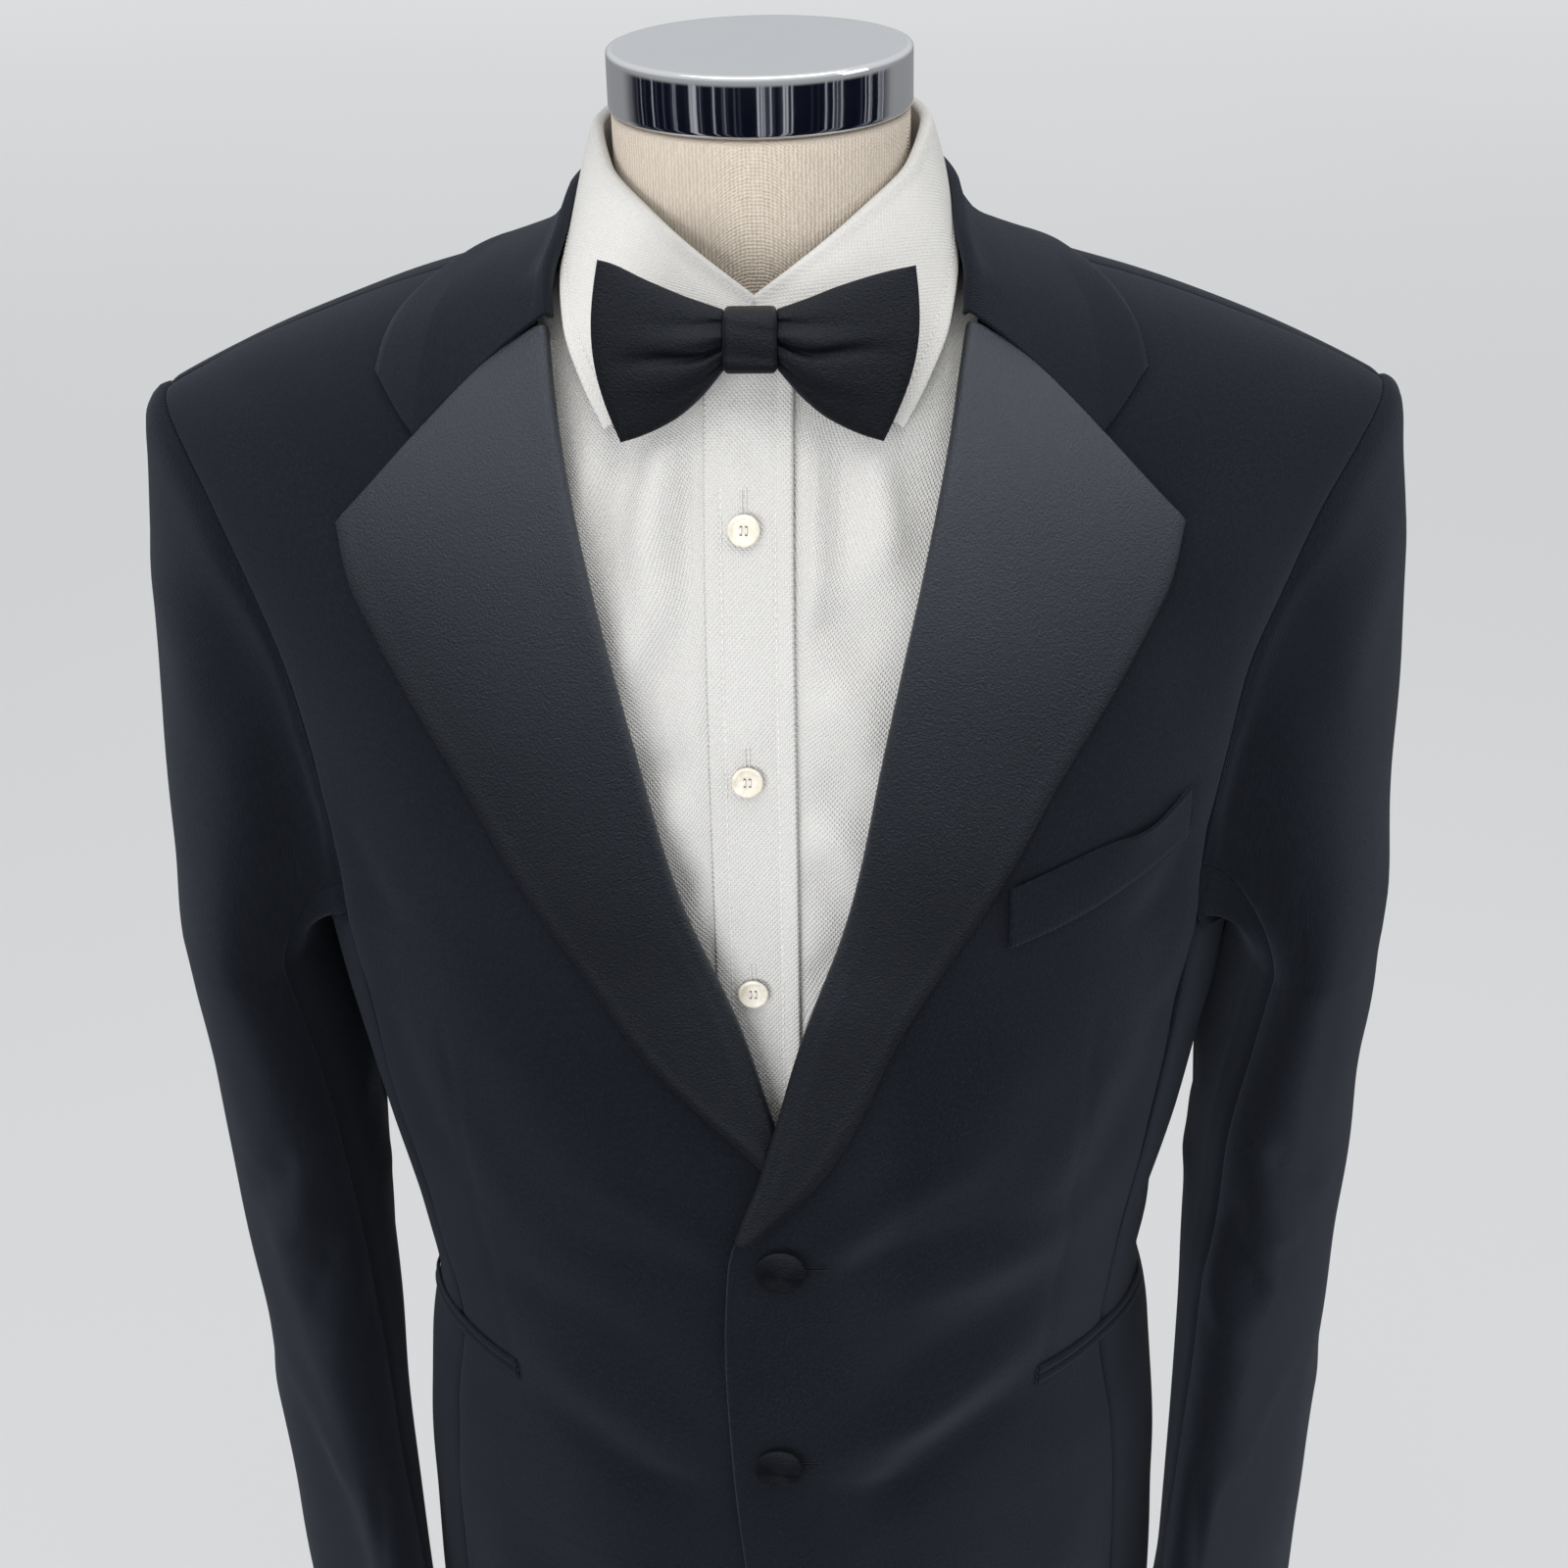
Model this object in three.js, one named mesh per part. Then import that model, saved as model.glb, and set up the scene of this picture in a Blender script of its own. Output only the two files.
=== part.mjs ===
// Tuxedo on a dress form: a single-breasted dinner jacket with satin lapels, a white shirt and a
// ready-tied bow tie, worn by a limbless tailor's form on a pole and a round foot.
//
// Millimetres, +Z up, front towards -Y, wearer's left towards +X. The foot's underside is z = 0.
// The garments are worked out in the neck frame: z = 0 at the top of the neck cap, going down.
// Every cloth piece is a wall: a grid of points on a body surface, moved out along its normals.
import * as THREE from "three";

// ---------------------------------------------------------------- driving sizes
const CAP_TOP = 1430; // neck cap above the floor
const CLOTH = 2.0; // jacket wool with its interlining
const SATIN = 1.6; // lapel facing
const SHIRTING = 1.0; // cotton
const SEAM = 0.35; // half of the gap left at each seam
const CAP = { radius: 56.5, height: 22, round: 2.5 };
const NECK_R = 55.5;
const POLE = { radius: 16, foot: 60 };
const FOOT = { radius: 190, thick: 10 };
const HEM = -835; // jacket hem in the neck frame
const ARMPIT = -337;

// ---------------------------------------------------------------- body surfaces
// Each surface is a stack of superellipse rings up to z = arm, and above it each front-to-back
// profile closes over to the shoulder ridge "top".
const JACKET = {
  mid: 5, arm: -300, n: 2.2, m: 2.2,
  rings: [
    { z: -840, half: 178, front: -138, back: 146 },
    { z: -760, half: 175, front: -142, back: 146 },
    { z: -690, half: 173, front: -146, back: 144 },
    { z: -640, half: 172, front: -148, back: 141 },
    { z: -585, half: 168, front: -150, back: 133 },
    { z: -531, half: 160, front: -151, back: 119 },
    { z: -480, half: 167, front: -152, back: 111 },
    { z: -430, half: 177, front: -153, back: 112 },
    { z: -380, half: 186, front: -152, back: 118 },
    { z: -330, half: 193, front: -150, back: 124 },
    { z: -300, half: 197, front: -149, back: 126 },
    { z: -220, half: 212, front: -149, back: 126 },
    { z: -160, half: 236, front: -149, back: 126 },
    { z: -110, half: 264, front: -149, back: 126 },
    { z: -40, half: 290, front: -149, back: 126 },
  ],
  ridge: [
    { x: 0, z: -44 }, { x: 40, z: -53 }, { x: 75, z: -69 }, { x: 107, z: -80 },
    { x: 144, z: -91 }, { x: 180, z: -104 }, { x: 210, z: -117 }, { x: 238, z: -131 },
    { x: 264, z: -147 },
  ],
};
const SHIRT = {
  mid: 5, arm: -300, n: 2.2, m: 2.2,
  rings: [
    { z: -840, half: 158, front: -118, back: 126 },
    { z: -690, half: 156, front: -126, back: 126 },
    { z: -585, half: 154, front: -132, back: 118 },
    { z: -531, half: 150, front: -136, back: 108 },
    { z: -480, half: 154, front: -139, back: 101 },
    { z: -430, half: 163, front: -141, back: 102 },
    { z: -380, half: 172, front: -141, back: 107 },
    { z: -330, half: 180, front: -140, back: 113 },
    { z: -300, half: 184, front: -139, back: 115 },
    { z: -220, half: 198, front: -139, back: 115 },
    { z: -160, half: 222, front: -139, back: 115 },
    { z: -110, half: 250, front: -139, back: 115 },
    { z: -40, half: 276, front: -139, back: 115 },
  ],
  ridge: [
    { x: 0, z: -52 }, { x: 40, z: -62 }, { x: 75, z: -79 }, { x: 107, z: -91 },
    { x: 144, z: -102 }, { x: 180, z: -116 }, { x: 205, z: -129 }, { x: 225, z: -143 },
    { x: 260, z: -165 },
  ],
};
const FORM = {
  mid: 5, arm: -300, n: 2.1, m: 2.2,
  rings: [
    { z: -760, half: 146, front: -104, back: 114 },
    { z: -690, half: 149, front: -112, back: 118 },
    { z: -585, half: 147, front: -118, back: 110 },
    { z: -500, half: 143, front: -120, back: 94 },
    { z: -430, half: 152, front: -126, back: 93 },
    { z: -380, half: 161, front: -130, back: 98 },
    { z: -330, half: 169, front: -131, back: 104 },
    { z: -300, half: 173, front: -130, back: 106 },
    { z: -220, half: 188, front: -130, back: 106 },
    { z: -160, half: 212, front: -130, back: 106 },
    { z: -90, half: 244, front: -130, back: 106 },
  ],
  ridge: [
    { x: 0, z: -64 }, { x: 40, z: -75 }, { x: 75, z: -95 }, { x: 107, z: -107 },
    { x: 144, z: -117 }, { x: 170, z: -129 }, { x: 185, z: -143 }, { x: 194, z: -170 },
    { x: 199, z: -215 },
  ],
};

// ---------------------------------------------------------------- outlines of the jacket's cut
// Wearer's left front: its edge and roll line from the hem up. "x" is the distance past the middle.
const LEFT_EDGE = [
  { z: -836, x: 118 }, { z: -832, x: 92 }, { z: -820, x: 66 }, { z: -800, x: 45 },
  { z: -770, x: 25 }, { z: -735, x: 10 }, { z: -690, x: -2 }, { z: -650, x: -8 },
  { z: -613, x: -11.5 }, { z: -552, x: -15.5 }, { z: -496, x: -17 }, { z: -438, x: -14 },
  { z: -416, x: -8 }, { z: -398, x: -1.5 }, { z: -369, x: 6.5 }, { z: -332, x: 16.5 }, { z: -286, x: 33 },
  { z: -264, x: 40 }, { z: -232, x: 48.5 }, { z: -202, x: 57 }, { z: -160, x: 66 }, { z: -125, x: 71.5 },
  { z: -88, x: 76.5 }, { z: -72, x: 84 },
];
// The wearer's right roll line crosses the middle higher up, so it lies this much further in.
const rightIn = (z) => 8.5 * ease((-90 - z) / 260);
// Outer edge of the lapel, from its lower end to the tip.
const LAPEL_EDGE = [
  { z: -426, x: -8 }, { z: -416, x: 3 }, { z: -398, x: 17.5 }, { z: -373, x: 33 }, { z: -335, x: 51 },
  { z: -286, x: 81.5 }, { z: -267, x: 92.5 }, { z: -238, x: 108 }, { z: -213, x: 123.5 },
  { z: -188, x: 138.5 }, { z: -170, x: 148 }, { z: -152, x: 152.5 },
];
// Gorge: the seam between collar and lapel, from the neck over the notch to the lapel's tip.
const GORGE = { inX: 76, inZ: -88, notchX: 123, tipX: 152, tipZ: -152, bow: 5.6 };
const gorgeZ = (x) => {
  const s = clamp((x - GORGE.inX) / (GORGE.tipX - GORGE.inX), 0, 1);
  return mix(GORGE.inZ, GORGE.tipZ, s) + GORGE.bow * Math.sin(Math.PI * Math.pow(s, 0.8));
};
const COLLAR_END = { x: 140, z: -107 };
// Armhole: the front and back panels' outer edges, from the underarm to the shoulder tip.
const FRONT_ARMHOLE = [
  { z: -323, x: 167 }, { z: -300, x: 169 }, { z: -270, x: 172 }, { z: -240, x: 177 },
  { z: -217, x: 182 }, { z: -190, x: 193 }, { z: -161, x: 209 }, { z: -143, x: 224 }, { z: -131, x: 237.5 },
];
const BACK_ARMHOLE = [
  { z: -323, x: 167 }, { z: -290, x: 176 }, { z: -250, x: 186 }, { z: -210, x: 199 },
  { z: -175, x: 213 }, { z: -150, x: 225 }, { z: -131, x: 237.5 },
];
const SIDE_SEAM = 0.865; // share of the half width where front and back meet the side panel
const BACK_NECK = [{ x: 0, z: -86 }, { x: 30, z: -84 }, { x: 60, z: -79 }, { x: 84, z: -72 }];
// Sleeve sections below the armhole: centre, half of the long and short axis, turn of the long axis.
const SLEEVE = [
  { z: -352, x: 223, y: -6, long: 88, short: 33, turn: 5, dent: 0 },
  { z: -400, x: 221, y: -5, long: 80, short: 35, turn: 8, dent: 0 },
  { z: -443, x: 219, y: -7, long: 75, short: 36, turn: 11, dent: 1 },
  { z: -500, x: 218, y: -11, long: 70, short: 35, turn: 15, dent: 2 },
  { z: -563, x: 216, y: -17, long: 67, short: 32, turn: 20, dent: 5 },
  { z: -642, x: 214, y: -26, long: 66, short: 28, turn: 26, dent: 9 },
  { z: -705, x: 211, y: -32, long: 66, short: 26, turn: 30, dent: 12 },
  { z: -771, x: 208, y: -37, long: 66, short: 24, turn: 33, dent: 14 },
];
// Jacket collar, from the gorge to the middle of the back: fold and leaf edge.
const COLLAR = [
  { t: 0.0, foldX: 76, foldY: -61, foldZ: -83, edgeX: 140, edgeY: -55, edgeZ: -107 },
  { t: 0.12, foldX: 76, foldY: -47, foldZ: -72, edgeX: 137, edgeY: -38, edgeZ: -98 },
  { t: 0.26, foldX: 73.6, foldY: -25, foldZ: -62, edgeX: 128, edgeY: -17, edgeZ: -90 },
  { t: 0.42, foldX: 72.4, foldY: 5, foldZ: -55, edgeX: 113, edgeY: 9, edgeZ: -85 },
  { t: 0.58, foldX: 64.5, foldY: 36, foldZ: -51, edgeX: 95, edgeY: 43, edgeZ: -88 },
  { t: 0.78, foldX: 41.0, foldY: 62, foldZ: -47, edgeX: 57, edgeY: 76, edgeZ: -95 },
  { t: 1.0, foldX: 0, foldY: 74, foldZ: -45, edgeX: 0, edgeY: 88, edgeZ: -98 },
];
// Shirt collar, from the front to the middle of the back: its foot on the neckline, fold and edge.
const SHIRT_COLLAR = [
  { t: 0.0, footX: 1.2, back: 0, foldX: 1.2, foldY: -70.5, foldZ: -74.5, edgeX: 53, edgeY: -94, edgeZ: -114 },
  { t: 0.1, footX: 20, back: 0, foldX: 19, foldY: -63, foldZ: -62, edgeX: 61, edgeY: -84, edgeZ: -101 },
  { t: 0.22, footX: 42, back: 0, foldX: 38, foldY: -46, foldZ: -50, edgeX: 69, edgeY: -66, edgeZ: -85 },
  { t: 0.36, footX: 62, back: 0, foldX: 54.5, foldY: -22, foldZ: -39, edgeX: 72, edgeY: -36, edgeZ: -71 },
  { t: 0.52, footX: 72, back: 0.5, foldX: 60, foldY: 5, foldZ: -29, edgeX: 70, edgeY: 7, edgeZ: -64 },
  { t: 0.7, footX: 54, back: 1, foldX: 49, foldY: 38, foldZ: -27, edgeX: 56, edgeY: 45, edgeZ: -61 },
  { t: 1.0, footX: 0, back: 1, foldX: 0, foldY: 61.5, foldZ: -26, edgeX: 0, edgeY: 69.5, edgeZ: -59 },
];
// Bow tie wing, from the knot outwards: top and bottom of its outline, depth at the middle.
const WING = [
  { s: 0.0, topX: 9.5, topZ: -70, lowX: 9.5, lowZ: -94, thick: 9 },
  { s: 0.25, topX: 20, topZ: -66.5, lowX: 18, lowZ: -100, thick: 11 },
  { s: 0.5, topX: 31, topZ: -62.5, lowX: 27, lowZ: -107, thick: 10 },
  { s: 0.8, topX: 47, topZ: -58, lowX: 39, lowZ: -112.5, thick: 7 },
  { s: 1.0, topX: 57, topZ: -56, lowX: 46, lowZ: -114.5, thick: 4 },
];
const BOW_Y = { top: -93, low: -107 }; // middle plane of the bow at z = -56 and z = -115
const SHIRT_BUTTONS = [{ z: -145.5 }, { z: -233 }, { z: -320.5 }];
const SHIRT_BUTTON = { radius: 5.8, thick: 2.4 };
const JACKET_BUTTONS = [{ x: 5.5, z: -436 }, { x: 2.5, z: -543 }];
const JACKET_BUTTON = { radius: 10, thick: 6 };
const PLACKET = { left: 13.5, right: -16.5 };
// Chest welt on the wearer's left, and the hip pockets' jettings.
const WELT = [
  { s: 0, x: 92, topZ: -277, lowZ: -302 }, { s: 0.35, x: 113, topZ: -270.5, lowZ: -296 },
  { s: 0.7, x: 136, topZ: -263, lowZ: -287 }, { s: 1, x: 158, topZ: -253, lowZ: -276 },
];
// The hip pocket opening by its angle round the body (90 front, 0 side).
const HIP = [{ a: 5, z: -556 }, { a: 19, z: -541 }, { a: 35, z: -530 }, { a: 49, z: -527 }];
const HIP_LIP = { near: 0.4, far: 5.5 };

// ---------------------------------------------------------------- small maths
const V = (x, y, z) => new THREE.Vector3(x, y, z);
const clamp = (v, a, b) => Math.min(b, Math.max(a, v));
const mix = (a, b, t) => a + (b - a) * t;
const ease = (t) => { t = clamp(t, 0, 1); return t * t * (3 - 2 * t); };

// One named column of a table at value v of its key column, as a smooth curve that never overshoots.
function at(table, column, v, key = "z") {
  const n = table.length;
  if (v <= table[0][key]) return table[0][column];
  if (v >= table[n - 1][key]) return table[n - 1][column];
  let i = 0;
  while (v > table[i + 1][key]) i++;
  const step = (k) => (table[k + 1][column] - table[k][column]) / (table[k + 1][key] - table[k][key]);
  const slope = (k) => {
    if (k === 0) return step(0);
    if (k === n - 1) return step(n - 2);
    const a = step(k - 1), b = step(k);
    return a * b <= 0 ? 0 : (2 * a * b) / (a + b);
  };
  const h = table[i + 1][key] - table[i][key], t = (v - table[i][key]) / h;
  const t2 = t * t, t3 = t2 * t;
  return (2 * t3 - 3 * t2 + 1) * table[i][column] + (t3 - 2 * t2 + t) * h * slope(i) +
    (3 * t2 - 2 * t3) * table[i + 1][column] + (t3 - t2) * h * slope(i + 1);
}
const ridge = (S, x) => at(S.ridge, "z", Math.abs(x), "x");

// The point of surface S at share c of its half width (0 middle, 1 side), on the front (-1) or back (+1).
function skin(S, c, z, face) {
  const half = at(S.rings, "half", z), far = at(S.rings, face < 0 ? "front" : "back", z);
  const x = half * c;
  let reach = Math.pow(Math.max(0, 1 - Math.pow(c, S.n)), 1 / S.n);
  if (z > S.arm) {
    const q = clamp((z - S.arm) / (ridge(S, x) - S.arm), 0, 1);
    reach *= Math.pow(Math.max(0, 1 - Math.pow(q, S.m)), 1 / S.m);
  }
  return V(x, S.mid + (far - S.mid) * reach, z);
}
const skinX = (S, x, z, face) => skin(S, Math.abs(x) / at(S.rings, "half", z), z, face).setX(x);
const onRidge = (S, x, face) => V(x, S.mid + face * SEAM, ridge(S, x));

// The point of surface S below the arm line at angle a: 0 at the side, positive to the front.
function ringPoint(S, z, a) {
  const half = at(S.rings, "half", z), far = at(S.rings, a > 0 ? "front" : "back", z);
  return V(half * Math.pow(Math.cos(a), 2 / S.n), S.mid + (far - S.mid) * Math.pow(Math.abs(Math.sin(a)), 2 / S.n), z);
}

// How far outside surface S a point is, as a level, and the outward normal there.
function level(S, p, upper) {
  const z = p.z, half = at(S.rings, "half", z), far = at(S.rings, p.y < S.mid ? "front" : "back", z);
  const c = Math.abs(p.x) / half, u = Math.abs((p.y - S.mid) / (far - S.mid));
  if (!upper) return Math.pow(Math.pow(c, S.n) + Math.pow(u, S.n), 1 / S.n) - 1;
  const q = Math.max(0, (z - S.arm) / (ridge(S, p.x) - S.arm));
  const sy = Math.pow(Math.max(0.002, 1 - Math.pow(c, S.n)), 1 / S.n);
  return Math.pow(Math.pow(u / sy, S.m) + Math.pow(q, S.m), 1 / S.m) - 1;
}
function outward(S, p) {
  const upper = p.z > S.arm, e = 0.4;
  const g = V(
    level(S, V(p.x + e, p.y, p.z), upper) - level(S, V(p.x - e, p.y, p.z), upper),
    level(S, V(p.x, p.y + e, p.z), upper) - level(S, V(p.x, p.y - e, p.z), upper),
    level(S, V(p.x, p.y, p.z + e), upper) - level(S, V(p.x, p.y, p.z - e), upper),
  ).divideScalar(2 * e);
  const size = g.length() || 1;
  return { n: g.divideScalar(size), d: level(S, p, upper) / size };
}
// Moves a point out until it is at least "off" from surface S.
function clear(S, p, off) {
  const q = p.clone();
  for (let k = 0; k < 4; k++) {
    const o = outward(S, q);
    if (o.d >= off) break;
    q.addScaledVector(o.n, off - o.d);
  }
  return q;
}

// ---------------------------------------------------------------- solids
// A wall between two grids of points, closed all round. wrap joins the last column to the first.
function between(inner, outer, wrap = false) {
  const rows = inner.length, cols = inner[0].length, pos = [], index = [];
  for (const grid of [inner, outer]) for (const row of grid) for (const p of row) pos.push(p.x, p.y, p.z);
  const I = (r, c) => r * cols + (c % cols), O = (r, c) => rows * cols + I(r, c);
  const quad = (a, b, c, d) => index.push(a, b, c, a, c, d);
  const span = wrap ? cols : cols - 1;
  for (let r = 0; r < rows - 1; r++)
    for (let c = 0; c < span; c++) {
      quad(O(r, c), O(r, c + 1), O(r + 1, c + 1), O(r + 1, c));
      quad(I(r, c), I(r + 1, c), I(r + 1, c + 1), I(r, c + 1));
    }
  for (let c = 0; c < span; c++) {
    quad(I(0, c), I(0, c + 1), O(0, c + 1), O(0, c));
    quad(O(rows - 1, c), O(rows - 1, c + 1), I(rows - 1, c + 1), I(rows - 1, c));
  }
  if (!wrap)
    for (let r = 0; r < rows - 1; r++) {
      quad(I(r + 1, 0), I(r, 0), O(r, 0), O(r + 1, 0));
      quad(O(r + 1, cols - 1), O(r, cols - 1), I(r, cols - 1), I(r + 1, cols - 1));
    }
  return facing(pos, index);
}
// A solid through closed rings of points, with flat ends.
function loft(rings) {
  const n = rings[0].length, pos = [], index = [];
  for (const ring of rings) for (const p of ring) pos.push(p.x, p.y, p.z);
  for (let r = 0; r < rings.length - 1; r++)
    for (let c = 0; c < n; c++) {
      const d = (c + 1) % n, a = r * n;
      index.push(a + c, a + d, a + n + d, a + c, a + n + d, a + n + c);
    }
  for (const [r, flip] of [[0, true], [rings.length - 1, false]]) {
    const m = rings[r].reduce((s, p) => s.add(p), V(0, 0, 0)).divideScalar(n), k = pos.length / 3;
    pos.push(m.x, m.y, m.z);
    for (let c = 0; c < n; c++) {
      const d = (c + 1) % n, a = r * n;
      flip ? index.push(k, a + d, a + c) : index.push(k, a + c, a + d);
    }
  }
  return facing(pos, index);
}
// Makes the faces point out.
function facing(pos, index) {
  let volume = 0;
  const a = V(0, 0, 0), b = V(0, 0, 0), c = V(0, 0, 0);
  for (let i = 0; i < index.length; i += 3) {
    a.fromArray(pos, 3 * index[i]); b.fromArray(pos, 3 * index[i + 1]); c.fromArray(pos, 3 * index[i + 2]);
    volume += a.dot(b.cross(c));
  }
  if (volume < 0) for (let i = 0; i < index.length; i += 3) [index[i + 1], index[i + 2]] = [index[i + 2], index[i + 1]];
  const g = new THREE.BufferGeometry();
  g.setAttribute("position", new THREE.Float32BufferAttribute(pos, 3));
  g.setIndex(index);
  g.computeVertexNormals();
  return g;
}
// A wall on surface S: every point of the grid moved out by low and by high.
function onSurface(S, grid, low, high) {
  const f = (v, p) => (typeof v === "function" ? v(p) : v);
  const normals = grid.map((row) => row.map((p) => outward(S, p).n));
  const move = (v) => grid.map((row, r) => row.map((p, c) => p.clone().addScaledVector(normals[r][c], f(v, p))));
  return between(move(low), move(high));
}
// Normals of a free grid, from its neighbours.
function gridNormals(grid, wrap = false) {
  const R = grid.length, C = grid[0].length;
  return grid.map((row, r) => row.map((p, c) => {
    const u = grid[Math.min(R - 1, r + 1)][c].clone().sub(grid[Math.max(0, r - 1)][c]);
    const c1 = wrap ? (c + 1) % C : Math.min(C - 1, c + 1), c0 = wrap ? (c + C - 1) % C : Math.max(0, c - 1);
    return u.cross(grid[r][c1].clone().sub(grid[r][c0])).normalize();
  }));
}
const shift = (grid, normals, d) => grid.map((row, r) => row.map((p, c) => p.clone().addScaledVector(normals[r][c], d)));
const mirror = (grid) => grid.map((row) => row.map((p) => V(-p.x, p.y, p.z)));

// ---------------------------------------------------------------- scene graph
const part = new THREE.Group();
part.name = "tuxedo_on_dress_form";
const worn = new THREE.Group();
worn.position.z = CAP_TOP;
part.add(worn);
const finish = (color, roughness, metalness = 0) => new THREE.MeshStandardMaterial({ color, roughness, metalness });
const WOOL = finish(0x16181d, 0.9), SILK = finish(0x1c1d22, 0.38), COTTON = finish(0xf1efe9, 0.85);
const PEARL = finish(0xe6dfcd, 0.3), LINEN = finish(0xd8cbb9, 0.95), CHROME = finish(0xc9ccd0, 0.08, 1);
function add(name, geometry, material, group = worn) {
  const mesh = new THREE.Mesh(geometry, material);
  mesh.name = name;
  group.add(mesh);
  return mesh;
}

// ---------------------------------------------------------------- jacket: fronts, sides, backs
// Rows of a panel: level rows up to the arm line, then rows by their angle up to the shoulder ridge.
const rise = (S, degrees) => Math.pow(Math.sin(THREE.MathUtils.degToRad(degrees)), 2 / S.m);
const LOW_ROWS = [HEM, -828, -812, -785, -745, -690, -635, -590, -558, -531, -488, -447, -410, -368, -324, -300];
const HIGH_ROWS = [14, 28, 41, 53, 63.5, 72, 81, 90];
function panelRows(S, low, high, inner, outer, top, cols, face) {
  const rows = [];
  const row = (zOf) => {
    const edge = (f) => { let x = f(-200); for (let k = 0; k < 25; k++) x = mix(x, f(zOf(x)), 0.6); return x; };
    const a = edge(inner), b = edge(outer);
    rows.push(Array.from({ length: cols }, (_, i) => {
      const x = mix(a, b, i / (cols - 1));
      return zOf(x) > ridge(S, x) - 0.01 ? onRidge(S, x, face) : skinX(S, x, zOf(x), face);
    }));
  };
  for (const z of low) row(() => z);
  for (const t of high) row((x) => S.arm + rise(S, t) * (top(x) - S.arm));
  return rows;
}
const frontOuter = (z) => (z < -323 ? SIDE_SEAM * at(JACKET.rings, "half", z) : at(FRONT_ARMHOLE, "x", z)) - SEAM;
const backOuter = (z) => (z < -323 ? SIDE_SEAM * at(JACKET.rings, "half", z) : at(BACK_ARMHOLE, "x", z)) - SEAM;
const leftInner = (z) => at(LEFT_EDGE, "x", z);
const rightInner = (z) => (z > -369 ? at(LEFT_EDGE, "x", z) - rightIn(z) : mix(-2, -16, ease((z + 369) / -70)));
const rightEdge = (z) => (z < -613 ? at(LEFT_EDGE, "x", z) : rightInner(z));
const seamTop = (x) => ridge(JACKET, x);
// The left front lies on the right one at the buttons, so it stands off there.
const lift = (p) => (1 - ease((p.x - 22) / 34)) * mix(2.7, 5.6, ease((p.z + 500) / 60) * (1 - ease((p.z + 330) / 60)));
const leftFront = panelRows(JACKET, LOW_ROWS, HIGH_ROWS, leftInner, frontOuter, seamTop, 8, -1);
const rightFront = mirror(panelRows(JACKET, LOW_ROWS, HIGH_ROWS, rightEdge, frontOuter, seamTop, 8, -1));
add("jacket_front_left", onSurface(JACKET, leftFront, lift, (p) => lift(p) + CLOTH), WOOL);
add("jacket_front_right", onSurface(JACKET, rightFront, 0, CLOTH), WOOL);

const BACK_LOW = [HEM, -760, -690, -640, -585, -531, -480, -430, -380, -324, -300];
const BACK_HIGH = [18, 35, 50, 62, 72, 81, 90];
const backTop = (x) => Math.min(seamTop(x), at(BACK_NECK, "z", Math.abs(x), "x"));
const backLeft = panelRows(JACKET, BACK_LOW, BACK_HIGH, () => SEAM, backOuter, backTop, 6, 1);
add("jacket_back_left", onSurface(JACKET, backLeft, 0, CLOTH), WOOL);
add("jacket_back_right", onSurface(JACKET, mirror(backLeft), 0, CLOTH), WOOL);

// Side panel: between the two side seams, with the underarm part of the armhole as its top.
const seamAngle = Math.acos(Math.pow(SIDE_SEAM, JACKET.n / 2));
const sideTop = (a) => ARMPIT + 13 * Math.pow(Math.abs(a) / seamAngle, 2);
function sidePoint(z, a) {
  const half = at(JACKET.rings, "half", z);
  const lim = Math.acos(Math.pow(clamp(SIDE_SEAM + SEAM / half, 0, 1), JACKET.n / 2));
  return ringPoint(JACKET, z, clamp(a, -lim, lim));
}
const SIDE_ROWS = [HEM, -760, -690, -635, -590, -558, -531, -480, -430, -380];
const SIDE_COLS = [1, 0.667, 0.333, 0, -0.333, -0.667, -1];
const side = SIDE_ROWS.map((z) => SIDE_COLS.map((s) => sidePoint(z, s * seamAngle)));
side.push(SIDE_COLS.map((s) => sidePoint(sideTop(s * seamAngle) - SEAM, s * seamAngle)));
add("jacket_side_left", onSurface(JACKET, side, 0, CLOTH), WOOL);
add("jacket_side_right", onSurface(JACKET, mirror(side), 0, CLOTH), WOOL);

// ---------------------------------------------------------------- sleeves
// Half of the armhole from the shoulder tip to the underarm, on the outside of the cloth.
function armholeHalf(face) {
  const pts = [], table = face < 0 ? FRONT_ARMHOLE : BACK_ARMHOLE;
  for (let k = 0; k <= 24; k++) {
    const z = mix(-131, -323, Math.pow(k / 24, 1.5)), x = at(table, "x", z), top = ridge(JACKET, x);
    pts.push(k ? skinX(JACKET, x, Math.min(z, top - 0.02), face) : onRidge(JACKET, x, 0));
  }
  for (let k = 1; k <= 8; k++) {
    const a = seamAngle * (1 - k / 8) * (face < 0 ? 1 : -1);
    pts.push(sidePoint(sideTop(a), a));
  }
  const run = [0];
  for (let k = 1; k < pts.length; k++) run.push(run[k - 1] + pts[k].distanceTo(pts[k - 1]));
  return (s) => {
    const d = s * run[run.length - 1];
    let k = 0;
    while (k < run.length - 2 && run[k + 1] < d) k++;
    const p = pts[k].clone().lerp(pts[k + 1], (d - run[k]) / (run[k + 1] - run[k]));
    return p.addScaledVector(outward(JACKET, p).n, CLOTH);
  };
}
const armholes = { front: armholeHalf(-1), back: armholeHalf(1) };
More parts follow.
